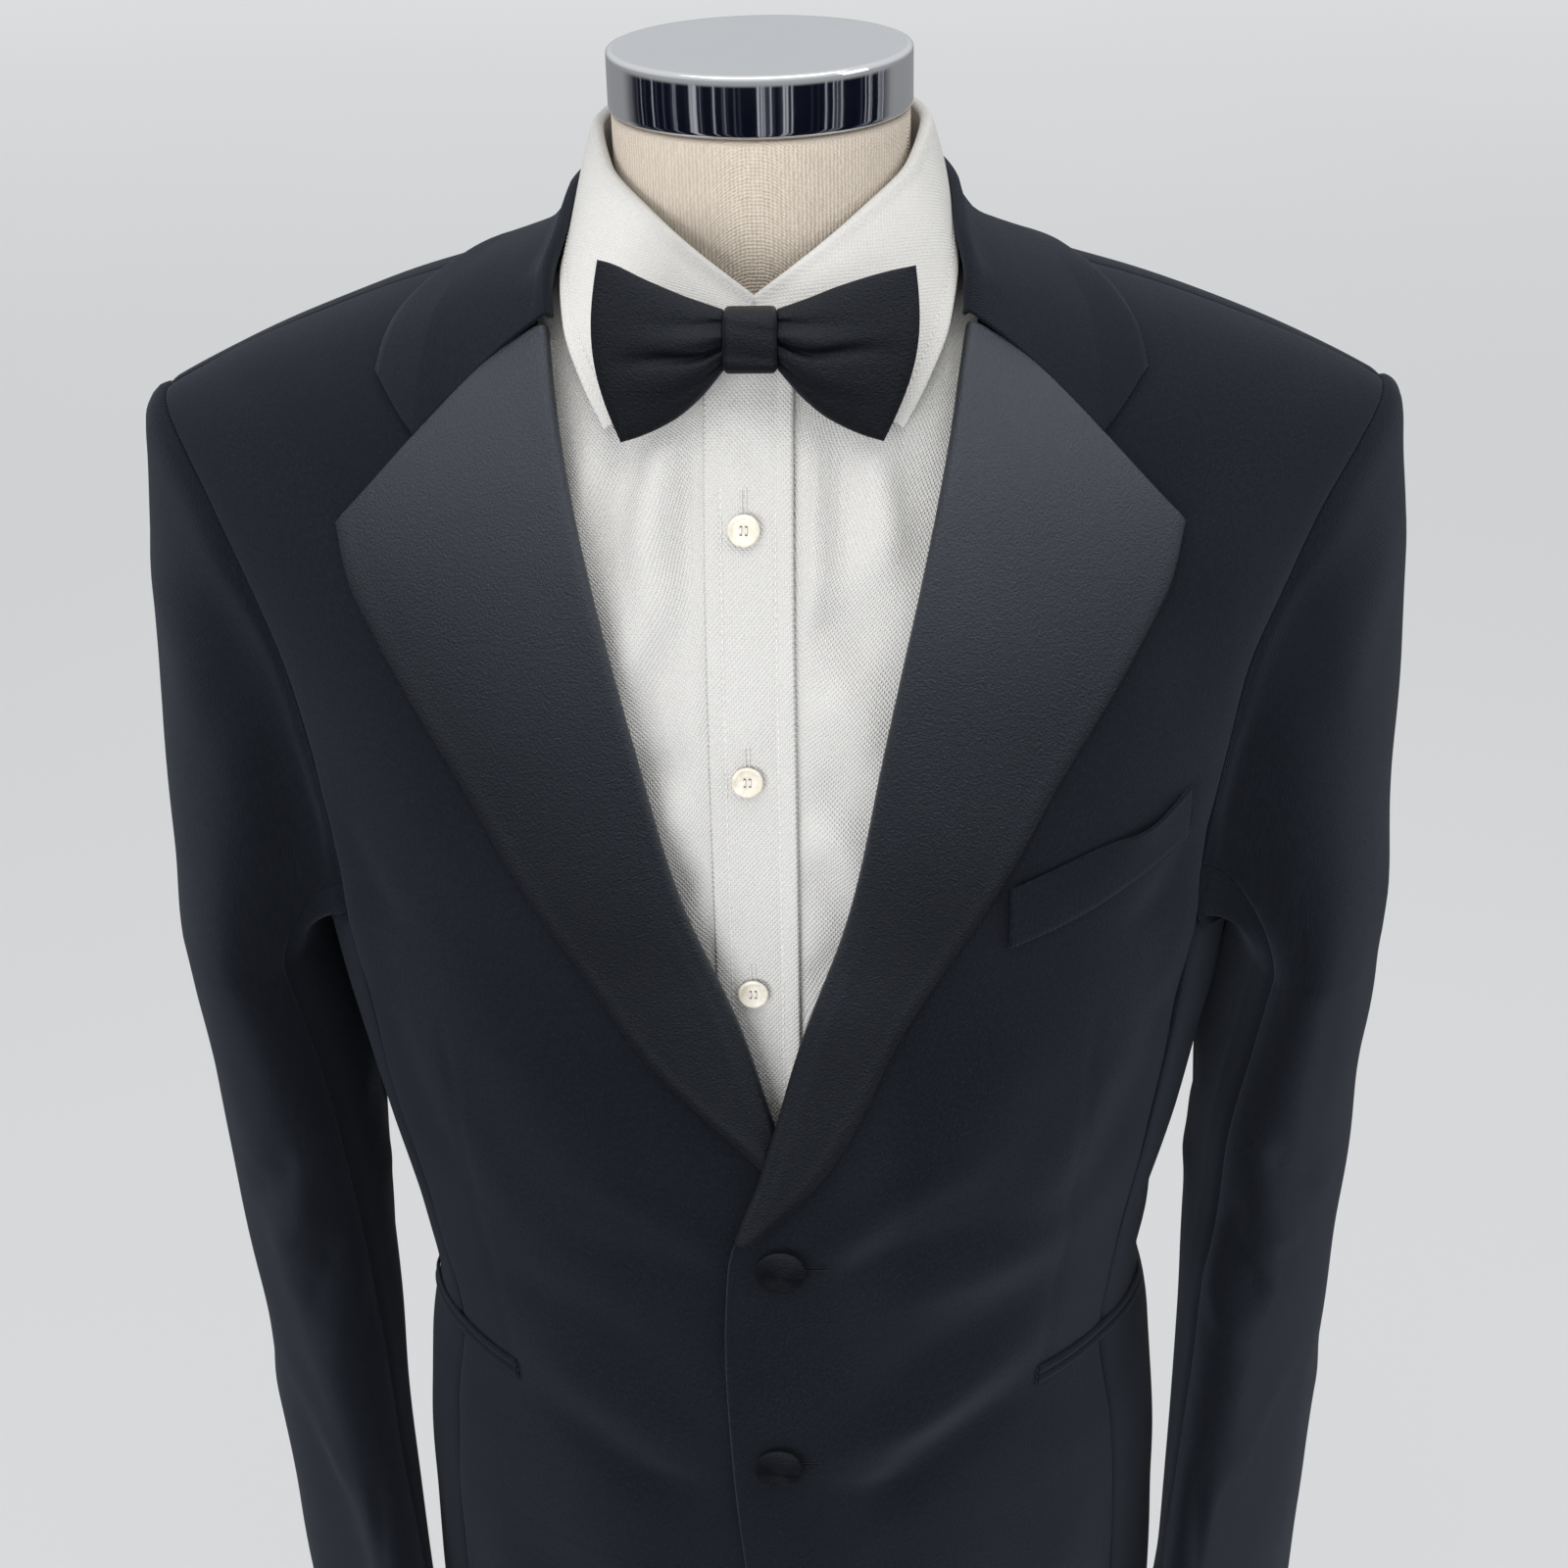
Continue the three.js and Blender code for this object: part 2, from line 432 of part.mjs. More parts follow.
// The sleeve's outline at angle a: 0 outer, +90 front, 180 inner, -90 back.
function sleeveRing(z, a) {
  const s = (k) => at(SLEEVE_UP, k, z), r = THREE.MathUtils.degToRad(a), turn = THREE.MathUtils.degToRad(s("turn"));
  const dent = s("dent") * Math.exp(-Math.pow((a - 42) / 26, 2));
  const u = (s("short") - dent) * Math.cos(r), v = -s("long") * Math.sin(r);
  return V(s("x") + u * Math.cos(turn) - v * Math.sin(turn) * -1, s("y") + v * Math.cos(turn) - u * Math.sin(turn), z);
}
const SLEEVE_UP = [...SLEEVE].reverse();
function sleevePoint(a, row) {
  // rows 0 to 1 run from the armhole to the first section, then one unit is the rest of the sleeve
  const share = Math.abs(a) / 180, seam = (a >= 0 ? armholes.front : armholes.back)(share);
  if (row <= 1) {
    const end = sleeveRing(-352, a), drop = seam.distanceTo(end), n = outward(JACKET, seam).n;
    const out = V(1, 0, 0).addScaledVector(n, -n.x).normalize(); // along the cloth, away from the body
    out.addScaledVector(n, 0.25 + 0.1 * Math.cos(2 * THREE.MathUtils.degToRad(a)));
    const p0 = seam.clone().addScaledVector(V(1, 0, 0), 6 * SEAM);
    const k0 = mix(46, 26, share), k1 = clamp(drop * 1.1, 22, 260), w = row, w2 = w * w, w3 = w2 * w;
    const p = p0.multiplyScalar(2 * w3 - 3 * w2 + 1).addScaledVector(out, k0 * (w3 - 2 * w2 + w))
      .addScaledVector(end, 3 * w2 - 2 * w3).addScaledVector(V(0, 0, -1), k1 * (w3 - w2));
    return row > 0.05 && (p.z < ARMPIT + 25) ? clear(JACKET, p, 3.2) : p;
  }
  const z = mix(-352, -771, row - 1), p = clear(JACKET, sleeveRing(z, a), 3.2);
  return p.setZ(z - 0.045 * (p.y - 10) * ease((row - 1.6) / 0.4));
}
const sleeveAt = (a, row) => sleevePoint(a > 180 ? a - 360 : a < -180 ? a + 360 : a, row);
// The sleeve's inward normal, the same on both of its pieces.
function sleeveInward(a, row) {
  const r0 = clamp(row - 0.02, 0.001, 2), r1 = clamp(row + 0.02, 0.02, 2);
  const u = sleeveAt(a, r1).sub(sleeveAt(a, r0)), v = sleeveAt(a + 3, row).sub(sleeveAt(a - 3, row));
  const n = u.cross(v).normalize();
  return n.dot(V(Math.cos(THREE.MathUtils.degToRad(a)), -Math.sin(THREE.MathUtils.degToRad(a)), 0.2)) > 0 ? n.negate() : n;
}
const SLEEVE_ROWS = [0, 0.1, 0.22, 0.4, 0.62, 0.82, 1, 1.15, 1.32, 1.5, 1.67, 1.84, 2];
const FRONT_SEAM_A = 118, BACK_SEAM_A = 262; // where top sleeve and under sleeve meet
const FRONT_SEAM_SHIFT = 5;
const sleeveGap = 0.5;
for (const [name, from, to, cols] of [
  ["jacket_sleeve_top", BACK_SEAM_A - 360 + sleeveGap, FRONT_SEAM_A - sleeveGap, 11],
  ["jacket_sleeve_under", FRONT_SEAM_A + sleeveGap, BACK_SEAM_A - sleeveGap, 7],
]) {
  // the front seam sits FRONT_SEAM_SHIFT further under on the right sleeve
  const skins = (a0, a1, n) => {
    const over = (f) => SLEEVE_ROWS.map((row) => Array.from({ length: n }, (_, i) => f(mix(a0, a1, i / (n - 1)), row)));
    return [over(sleeveAt), over((a, row) => sleeveAt(a, row).addScaledVector(sleeveInward(a, row), CLOTH))];
  };
  const shift = (a) => (Math.abs(a - FRONT_SEAM_A) < 1 ? a + FRONT_SEAM_SHIFT : a);
  add(name + "_left", between(...skins(from, to, cols)), WOOL);
  add(name + "_right", between(...skins(shift(from), shift(to), cols + 1).map(mirror)), WOOL);
}

// ---------------------------------------------------------------- lapels and collar
// Lapel rows run from its lower end up to the gorge; each row goes from the roll line to the edge.
const LAPEL_LOW = 3.2, LAPEL_HIGH = LAPEL_LOW + SATIN;
const LAPEL_ROWS = [-425, -410, -392, -364, -328, -292, -258, -230, -210, -194, -181, -170, -161, -152.4];
function lapelGrid(rows, right) {
  const grid = [];
  for (const z of rows) {
    // rows tilt from level at the bottom to the gorge line at the top
    const k = ease((z + 300) / 147), shy = right ? rightIn(z) : 0;
    const x0 = at(LEFT_EDGE, "x", z) - shy - 0.6, x1 = at(LAPEL_EDGE, "x", z) - (right ? 21 * ease((-332 - z) / 62) : 0);
    const zin = mix(z, GORGE.inZ, Math.pow(k, 1.6)) - 0.5 * k;
    const a = at(LEFT_EDGE, "x", zin) - 1.0;
    grid.push(Array.from({ length: 6 }, (_, i) => {
      const s = i / 5, x = mix(mix(x0, a, k), x1, s);
      const zz = mix(zin, z, s) + GORGE.bow * Math.sin(Math.PI * Math.pow(s, 0.8)) * Math.pow(k, 3);
      return skinX(JACKET, x, zz, -1);
    }));
  }
  return grid;
}
const lapel = lapelGrid(LAPEL_ROWS, false);
add("jacket_lapel_left", onSurface(JACKET, lapel, (p) => lift(p) + LAPEL_LOW, (p) => lift(p) + LAPEL_HIGH), SILK);
// The right lapel runs under the left front, so it stops at the crossing.
const rightLapel = mirror(lapelGrid([-396, ...LAPEL_ROWS.slice(3)], true));
add("jacket_lapel_right", onSurface(JACKET, rightLapel, LAPEL_LOW, LAPEL_HIGH), SILK);

// The jacket's neck edge, from the gorge over the shoulder to the middle of the back, and the
// collar's foot just inside it.
const NECK_SPLIT = 0.44;
function neckSeam(t) {
  let p;
  if (t < NECK_SPLIT) {
    const z = mix(-86, -72.8, t / NECK_SPLIT);
    p = skinX(JACKET, at(LEFT_EDGE, "x", z), z, -1);
  } else {
    const x = mix(84, 0, (t - NECK_SPLIT) / (1 - NECK_SPLIT));
    p = skinX(JACKET, x, at(BACK_NECK, "z", x, "x"), 1);
  }
  const r = Math.hypot(p.x, p.y - 5);
  return V(p.x * (1 - 1.9 / r), 5 + (p.y - 5) * (1 - 1.9 / r), p.z + 1.2);
}
// Collar: a wall that runs up the stand, over the fold and down the leaf.
function collarLine(t) {
  const g = (k) => at(COLLAR, k, t, "t");
  const foot = neckSeam(t), fold = V(g("foldX"), g("foldY"), g("foldZ"));
  let edge = V(g("edgeX"), g("edgeY"), g("edgeZ"));
  const line = [];
  for (const s of [0, 0.5, 0.88]) line.push(foot.clone().lerp(fold, s));
  const out = edge.clone().sub(foot).setZ(0).normalize();
  line.push(fold.clone().addScaledVector(out, 1.2).add(V(0, 0, 1.6 * ease(t / 0.2))));
  if (t < 0.001) {
    // the end of the collar: along the gorge to the notch, then up the collar's short edge
    const a = [0.14, 0.5, 1].map((s) => mix(GORGE.inX, GORGE.notchX, s)).map((x) => [x, gorgeZ(x)]);
    a.push([mix(GORGE.notchX, COLLAR_END.x, 0.5), mix(gorgeZ(GORGE.notchX), COLLAR_END.z, 0.5)], [COLLAR_END.x, COLLAR_END.z]);
    for (const [x, z] of a) line.push(clear(JACKET, skinX(JACKET, x, z + 1.1, -1), 0));
  } else {
    for (const s of [0.14, 0.36, 0.6, 0.82, 1]) {
      const p = fold.clone().lerp(edge, s);
      p.z -= 7 * Math.sin(Math.PI * Math.pow(s, 0.8)) * ease(t / 0.3) * (1 - 0.6 * ease((t - 0.5) / 0.3));
      line.push(p);
    }
  }
  const off = LAPEL_LOW + 0.3 + 1.4 * (1 - ease((t - 0.1) / 0.2));
  return line.map((p, i) => (i > 3 ? clear(JACKET, p, i === 4 ? Math.max(4.4, off) : off) : p));
}
const half = [0, 0.06, 0.13, 0.22, 0.32, 0.42, 0.52, 0.63, 0.75, 0.88, 1].map(collarLine);
const around = [...half.map((l) => l), ...half.slice(0, -1).reverse().map((l) => l.map((p) => V(-p.x, p.y, p.z)))];
{
  const n = gridNormals(around);
  if (n[10][7].y < 0) n.forEach((r) => r.forEach((v) => v.negate()));
  add("jacket_collar", between(around, shift(around, n, SATIN)), WOOL);
}

// ---------------------------------------------------------------- pockets
const lining = (p) => (p.x > 0 ? lift(p) : 0) + CLOTH + 0.9;
const welt = [0, 0.5, 1].map((k) => [0, 0.17, 0.35, 0.52, 0.7, 0.85, 1].map((s) => {
  const g = (c) => at(WELT, c, s, "s");
  return skinX(JACKET, g("x"), mix(g("lowZ"), g("topZ"), k), -1);
}));
add("chest_welt", onSurface(JACKET, welt, lining, (p) => lining(p) + 1.5), WOOL);
// Hip jettings: two narrow lips along an opening that runs from the front round to the side.
for (const [sideName, sign] of [["left", 1], ["right", -1]])
  for (const [lipName, lo, hi] of [["upper", HIP_LIP.near, HIP_LIP.far], ["lower", -HIP_LIP.far, -HIP_LIP.near]]) {
    const grid = [lo, hi].map((dz) => [5, 10.5, 21, 31.5, 35, 42, 49].map((a) => {
      const p = ringPoint(JACKET, at(HIP, "z", a, "a") + dz, THREE.MathUtils.degToRad(a));
      return p.setX(sign * p.x);
    }));
    add("hip_jet_" + lipName + "_" + sideName, onSurface(JACKET, grid, lining, (p) => lining(p) + 1.2), WOOL);
  }

// ---------------------------------------------------------------- buttons
function disc(profile, segments, place, normal, material, name) {
  const g = new THREE.LatheGeometry(profile.map(([r, h]) => new THREE.Vector2(r, h)), segments);
  g.deleteAttribute("uv");
  const mesh = add(name, g, material);
  mesh.position.copy(place);
  mesh.quaternion.setFromUnitVectors(V(0, 1, 0), normal);
}
JACKET_BUTTONS.forEach((b, i) => {
  const p = skinX(JACKET, b.x, b.z, -1), n = outward(JACKET, p).n, r = JACKET_BUTTON.radius, t = JACKET_BUTTON.thick;
  const base = p.clone().addScaledVector(n, lift(p) + CLOTH + 0.4);
  disc([[0, 0], [3, 0], [3.2, 1.4], [r * 0.8, 1.6], [r, 2.6], [r * 0.93, t * 0.72], [r * 0.6, t * 0.94], [0, t]], 12, base, n, SILK, "jacket_button_" + (i + 1));
});

// ---------------------------------------------------------------- shirt
const shirtOut = (z) => at([
  { z: -345, x: 0.999 }, { z: -325, x: 0.95 }, { z: -290, x: 0.9 }, { z: -240, x: 0.885 },
  { z: -190, x: 0.89 }, { z: -150, x: 0.905 }, { z: -131, x: 0.915 },
], "x", z);
const neckLine = (x) => at([
  { x: 0, z: -97 }, { x: 20, z: -93 }, { x: 42, z: -87 }, { x: 62, z: -83 }, { x: 72, z: -80 },
], "z", Math.abs(x), "x");
const shirtNeckBack = (x) => at([{ x: 0, z: -82 }, { x: 40, z: -83 }, { x: 72, z: -80 }], "z", Math.abs(x), "x");
function shirtPanel(face, cols, inner, lowRows, highRows, neck) {
  const grid = [];
  const ride = (zOf, cEdge) => Array.from({ length: cols }, (_, i) => {
    const s = i / (cols - 1), lim = Math.pow(cEdge, SHIRT.n / 2);
    const c0 = inner / at(SHIRT.rings, "half", zOf(0));
    const a0 = Math.asin(clamp(Math.pow(Math.abs(c0), SHIRT.n / 2) * Math.sign(c0), -1, 1)), a1 = Math.asin(lim), a = mix(a0, a1, s);
    const c = Math.sign(a) * Math.pow(Math.abs(Math.sin(a)), 2 / SHIRT.n);
    const x = c * at(SHIRT.rings, "half", zOf(c * 200));
    const z = zOf(x), h = at(SHIRT.rings, "half", z), cc = clamp(Math.abs(x) / h, 0, cEdge);
    if (z > ridge(SHIRT, x) - 0.01) return onRidge(SHIRT, x, face);
    const p = skin(SHIRT, cc, z, face);
    return p.setX(Math.sign(x || 1) * p.x);
  });
  for (const z of lowRows) grid.push(ride(() => z, shirtOut(z) >= 0.999 ? 0.99999 : shirtOut(z)));
  for (const t of highRows) {
    const zOf = (x) => SHIRT.arm + rise(SHIRT, t) * (Math.min(ridge(SHIRT, x), neck(x)) - SHIRT.arm);
    grid.push(ride(zOf, shirtOut(zOf(190))));
  }
  return grid;
}
const S_LOW = [-790, -690, -600, -531, -460, -400, -345, -325, -300];
const S_HIGH = [20, 40, 56, 69, 80, 90];
const shirtBack = (() => {
  const h = shirtPanel(1, 6, 0, S_LOW, S_HIGH, shirtNeckBack);
  return h.map((row) => [...row.slice(1).reverse().map((p) => V(-p.x, p.y, p.z)), ...row]);
})();
// the yoke seam runs across the shoulder blades
const YOKE_ROW = S_LOW.length + 1;
const belowYoke = shirtBack.slice(0, YOKE_ROW + 1);
belowYoke[YOKE_ROW] = shirtBack[YOKE_ROW].map((p, c) => p.clone().add(shirtBack[YOKE_ROW - 1][c].clone().sub(p).setLength(0.35)));
add("shirt_back", onSurface(SHIRT, belowYoke, 0, SHIRTING), COTTON);
add("shirt_yoke", onSurface(SHIRT, shirtBack.slice(YOKE_ROW), 0, SHIRTING), COTTON);
const sFrontL = shirtPanel(-1, 7, PLACKET.left + 0.4, S_LOW, S_HIGH, neckLine);
const sFrontR = shirtPanel(-1, 7, -PLACKET.right + 0.4, S_LOW, S_HIGH, neckLine);
// side seams: the fronts stop just before the back
const trim = (grid) => grid.map((row) => { const q = row.map((p) => p.clone()); const e = q[q.length - 1]; if (e.y > SHIRT.mid - 3) e.y = SHIRT.mid - 1.2; return q; });
add("shirt_front_left", onSurface(SHIRT, trim(sFrontL), 0, SHIRTING), COTTON);
add("shirt_front_right", onSurface(SHIRT, mirror(trim(sFrontR)), 0, SHIRTING), COTTON);
const placketRows = [-790, -700, -620, -560, -510, -460, -410, -370, -330, -290, -250, -210, -170, -140, -115, -99];
const placket = placketRows.map((z) => [0, 0.5, 1].map((s) => skinX(SHIRT, mix(PLACKET.right, PLACKET.left, s), z, -1)));
add("shirt_placket", onSurface(SHIRT, placket, 0.2, SHIRTING + 0.7), COTTON);
SHIRT_BUTTONS.forEach((b, i) => {
  const p = skinX(SHIRT, -1.5, b.z, -1), n = outward(SHIRT, p).n, r = SHIRT_BUTTON.radius, t = SHIRT_BUTTON.thick;
  const base = p.clone().addScaledVector(n, SHIRTING + 1.1);
  disc([[0, 0], [2.4, 0], [2.4, 0.5], [r, 0.7], [r, t * 0.8], [r * 0.84, t], [r * 0.66, t * 0.76], [0, t * 0.7]], 12, base, n, PEARL, "shirt_button_" + (i + 1));
});

// Collar stand and leaf of the shirt.
const sc = (t, k) => at(SHIRT_COLLAR, k, t, "t");
const outDir = (t) => {
  const a = V(sc(t, "foldX"), sc(t, "foldY"), 0);
  return a.normalize();
};
const T_HALF = [0, 0.05, 0.11, 0.18, 0.27, 0.36, 0.46, 0.57, 0.7, 0.85, 1];
const both = (lines) => [...lines, ...lines.slice(0, -1).reverse().map((l) => l.map((p) => V(-p.x, p.y, p.z)))];
function shirtFoot(t) {
  const x = sc(t, "footX"), b = ease(sc(t, "back"));
  const front = skinX(SHIRT, x, neckLine(x), -1), behind = skinX(SHIRT, x, shirtNeckBack(x), 1);
  const p = front.lerp(behind, b), r = Math.hypot(p.x, p.y);
  return V(p.x * (1 - 3 / r), p.y * (1 - 3 / r), p.z + 1.6 + 3 * Math.sin(Math.PI * b));
}
const stand = both(T_HALF.map((t) => [0, 0.5, 1].map((s) =>
  shirtFoot(t).lerp(V(sc(t, "foldX"), sc(t, "foldY"), sc(t, "foldZ") - 1.6), s))));
{
  const n = gridNormals(stand);
  if (n[10][1].y < 0) n.forEach((r) => r.forEach((v) => v.negate()));
  add("shirt_collar_stand", between(stand, shift(stand, n, 1.1)), COTTON);
  const band = stand.slice(1, -1).map((l) => [l[0].clone().lerp(l[2], 0.3), l[0].clone().lerp(l[2], 0.62)]);
  const m = gridNormals(band);
  if (m[9][1].y < 0) m.forEach((r) => r.forEach((v) => v.negate()));
  add("bow_neckband", between(shift(band, m, 2.1), shift(band, m, 2.9)), SILK);
}
const leaf = both(T_HALF.map((t) => {
  const fold = V(sc(t, "foldX"), sc(t, "foldY"), sc(t, "foldZ")), o = outDir(t);
  const edge = V(sc(t, "edgeX"), sc(t, "edgeY"), sc(t, "edgeZ"));
  const line = [fold.clone().add(V(0, 0, -0.6)).addScaledVector(o, -0.2), fold.clone().addScaledVector(o, 1.4).add(V(0, 0, 1.2)),
    fold.clone().addScaledVector(o, 3.4).add(V(0, 0, -2.2))];
  const start = line[2].clone();
  for (const s of [0.18, 0.45, 0.72, 1]) line.push(start.clone().lerp(edge, s).addScaledVector(o, 1.2 * Math.sin(Math.PI * s) * ease(t * 6))
    .add(V(0, -5.5 * Math.sin(Math.PI * Math.pow(s, 0.6)) * (1 - ease(t / 0.2)), 0)));
  return line.map((p, i) => (i > 2 ? clear(SHIRT, p, SHIRTING + 1.6) : p));
}));
{
  const n = gridNormals(leaf);
  if (n[10][4].y < 0) n.forEach((r) => r.forEach((v) => v.negate()));
  add("shirt_collar_leaf", between(leaf, shift(leaf, n, 1.0)), COTTON);
}

// ---------------------------------------------------------------- bow tie
const bowPlane = (z) => mix(BOW_Y.top, BOW_Y.low, (z + 56) / -59);
function wing(sign) {
  const rings = [0, 0.12, 0.25, 0.4, 0.55, 0.7, 0.85, 1].map((s) => {
    const g = (k) => at(WING, k, s, "s"), ring = [], steps = 7;
    for (const face of [-1, 1])
      for (let k = 0; k < steps; k++) {
        const u = face < 0 ? k / steps : 1 - k / steps; // 0 top to 1 bottom
        const fat = Math.pow(Math.sin(Math.PI * clamp(u, 0.0001, 0.9999)), 0.6);
        const pleat = 1 - 0.45 * (1 - s * 0.6) * Math.exp(-Math.pow((u - 0.52) / 0.13, 2));
        const x = mix(g("topX"), g("lowX"), u) + 5.5 * Math.sin(Math.PI * u) * ease((s - 0.45) / 0.55), z = mix(g("topZ"), g("lowZ"), u);
        ring.push(V(sign * x, bowPlane(z) + face * (g("thick") / 2) * fat * (face < 0 ? pleat : 0.6), z));
      }
    return ring;
  });
  return loft(rings);
}
add("bow_wing_left", wing(1), SILK);
add("bow_wing_right", wing(-1), SILK);
{
  // knot: a band round the middle of the bow
  const ring = (x) => Array.from({ length: 16 }, (_, k) => {
    const a = (k / 16) * 2 * Math.PI, c = Math.cos(a), s = Math.sin(a);
    const z = -80 + 10.8 * Math.sign(s) * Math.pow(Math.abs(s), 0.6);
    return V(x, bowPlane(z) - 1.5 + 6.8 * Math.sign(c) * Math.pow(Math.abs(c), 0.6), z);
  });
  add("bow_knot", loft([-9.1, -8.3, 0, 8.3, 9.1].map((x) => ring(x).map((p) => {
    const k = Math.abs(x) > 9 ? 0.93 : 1; return V(p.x, mix(-99, p.y, k), mix(-80, p.z, k)); }))), SILK);
}

// ---------------------------------------------------------------- dress form, pole and foot
const FORM_Z = [-760, -757, -745, -690, -640, -585, -531, -480, -430, -380, -300, -240, -195, -165, -143, -129, -118, -109];
const SEG = 22;
function formRing(z) {
  let lo = 0, hi = at(FORM.rings, "half", z);
  if (z > FORM.arm) { // the ring's half width is where the ridge comes down to this height
    hi = Math.min(hi, 199);
    for (let k = 0; k < 40; k++) { const x = (lo + hi) / 2; (ridge(FORM, x) > z ? (lo = x) : (hi = x)); }
    hi = lo;
  }
  const tuck = z < -750 ? 0.93 + 0.07 * Math.sqrt(Math.max(0, 1 - Math.pow((-750 - z) / 10.5, 2))) : 1;
  return Array.from({ length: SEG }, (_, k) => {
    const a = (k / SEG) * 2 * Math.PI, c = Math.cos(a), s = Math.sin(a);
    const x = hi * Math.sign(c) * Math.pow(Math.abs(c), 2 / FORM.n);
    const p = skinX(FORM, x, z, s < 0 ? -1 : 1);
    if (z <= FORM.arm || Math.abs(s) < 1e-6) p.y = z <= FORM.arm
      ? FORM.mid + (at(FORM.rings, s < 0 ? "front" : "back", z) - FORM.mid) * Math.pow(Math.abs(s), 2 / FORM.n) : FORM.mid;
    return V(p.x * tuck, mix(FORM.mid, p.y, tuck), z);
  });
}
const shoulderRing = formRing(-109);
const neckRing = (z, r, cy = 0) => Array.from({ length: SEG }, (_, k) => {
  const a = (k / SEG) * 2 * Math.PI;
  return V(r * Math.cos(a), cy + r * Math.sin(a), z);
});
const blend = [{ z: -101, k: 0.5 }, { z: -93, k: 0.82 }, { z: -84, k: 0.97 }].map(({ z, k }) =>
  neckRing(z, NECK_R).map((p, i) => V(mix(shoulderRing[i].x, p.x, k), mix(shoulderRing[i].y, p.y, k), z)));
add("form_torso", loft([...FORM_Z.map(formRing), ...blend, neckRing(-62, NECK_R), neckRing(-CAP.height - 0.4, NECK_R)]), LINEN);
const cap = new THREE.LatheGeometry([
  [0, 0], [CAP.radius - 1, 0], [CAP.radius, 1], [CAP.radius, CAP.height - CAP.round],
  [CAP.radius - 0.3 * CAP.round, CAP.height - 0.3 * CAP.round], [CAP.radius - CAP.round, CAP.height], [0, CAP.height],
].map(([r, h]) => new THREE.Vector2(r, h)), 32).rotateX(Math.PI / 2).translate(0, 0, -CAP.height);
cap.deleteAttribute("uv");
add("form_neck_cap", cap, CHROME);
const round = (points, segments, material, name) => {
  const g = new THREE.LatheGeometry(points.map(([r, h]) => new THREE.Vector2(r, h)), segments).rotateX(Math.PI / 2);
  g.deleteAttribute("uv");
  add(name, g, material, part);
};
const poleTop = CAP_TOP - 760 - 0.4;
round([[0, 0], [FOOT.radius, 0], [FOOT.radius, FOOT.thick - 3], [FOOT.radius - 3, FOOT.thick], [32, FOOT.thick + 1], [26, FOOT.thick + 16], [22, FOOT.thick + 20], [0, FOOT.thick + 20]], 30, CHROME, "stand_foot");
round([[0, FOOT.thick + 20.4], [POLE.radius, FOOT.thick + 20.4], [POLE.radius, poleTop - 14], [30, poleTop - 12], [30, poleTop], [0, poleTop]], 20, CHROME, "stand_pole");

export default part;
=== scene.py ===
import math

import bpy
import numpy as np
from mathutils import Matrix


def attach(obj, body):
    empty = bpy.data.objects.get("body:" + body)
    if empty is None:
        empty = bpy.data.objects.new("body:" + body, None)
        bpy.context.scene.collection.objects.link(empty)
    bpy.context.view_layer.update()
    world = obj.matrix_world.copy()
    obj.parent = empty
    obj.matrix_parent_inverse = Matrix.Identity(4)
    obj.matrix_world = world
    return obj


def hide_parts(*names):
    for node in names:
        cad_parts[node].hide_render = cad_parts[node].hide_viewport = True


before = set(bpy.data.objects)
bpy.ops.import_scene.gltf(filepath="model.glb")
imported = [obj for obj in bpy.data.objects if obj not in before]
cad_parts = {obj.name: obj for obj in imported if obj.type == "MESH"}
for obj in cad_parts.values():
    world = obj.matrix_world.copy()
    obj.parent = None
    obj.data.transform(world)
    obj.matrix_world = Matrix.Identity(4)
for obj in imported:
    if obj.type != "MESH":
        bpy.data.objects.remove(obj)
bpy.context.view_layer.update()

CAP_TOP = 1430.0  # everything worn is worked out in the neck frame: millimetres, z = 0 at the cap's top
CLOTH, SATIN, SHIRTING = 2.0, 1.6, 1.0
scene = bpy.context.scene


# ---------------------------------------------------------------- smooth tables and body surfaces
class Curve:
    """A smooth curve through (key, value) rows that never overshoots them."""

    def __init__(self, rows):
        self.k = np.array([r[0] for r in rows], float)
        self.v = np.array([r[1] for r in rows], float)
        d = np.diff(self.v) / np.diff(self.k)
        self.m = np.concatenate([[d[0]], np.zeros(len(d) - 1), [d[-1]]])
        for i in range(1, len(d)):
            a, b = d[i - 1], d[i]
            self.m[i] = 0.0 if a * b <= 0 else 2 * a * b / (a + b)

    def __call__(self, x):
        x = np.clip(np.asarray(x, float), self.k[0], self.k[-1])
        i = np.clip(np.searchsorted(self.k, x, side="right") - 1, 0, len(self.k) - 2)
        h = self.k[i + 1] - self.k[i]
        t = (x - self.k[i]) / h
        t2, t3 = t * t, t * t * t
        return (
            (2 * t3 - 3 * t2 + 1) * self.v[i]
            + (t3 - 2 * t2 + t) * h * self.m[i]
            + (3 * t2 - 2 * t3) * self.v[i + 1]
            + (t3 - t2) * h * self.m[i + 1]
        )


def ease(t):
    t = np.clip(t, 0, 1)
    return t * t * (3 - 2 * t)


def mix(a, b, t):
    return a + (b - a) * t


def right_in(z):
    """How much further in the wearer's right roll line lies than the left one."""
    return 8.5 * ease((-90 - z) / 260)


def gorge_z(x):
    s = np.clip((x - GORGE["in_x"]) / (GORGE["tip_x"] - GORGE["in_x"]), 0, 1)
    return mix(GORGE["in_z"], GORGE["tip_z"], s) + GORGE["bow"] * np.sin(np.pi * s**0.8)


def unit(v):
    return v / np.maximum(np.linalg.norm(v, axis=-1, keepdims=True), 1e-9)


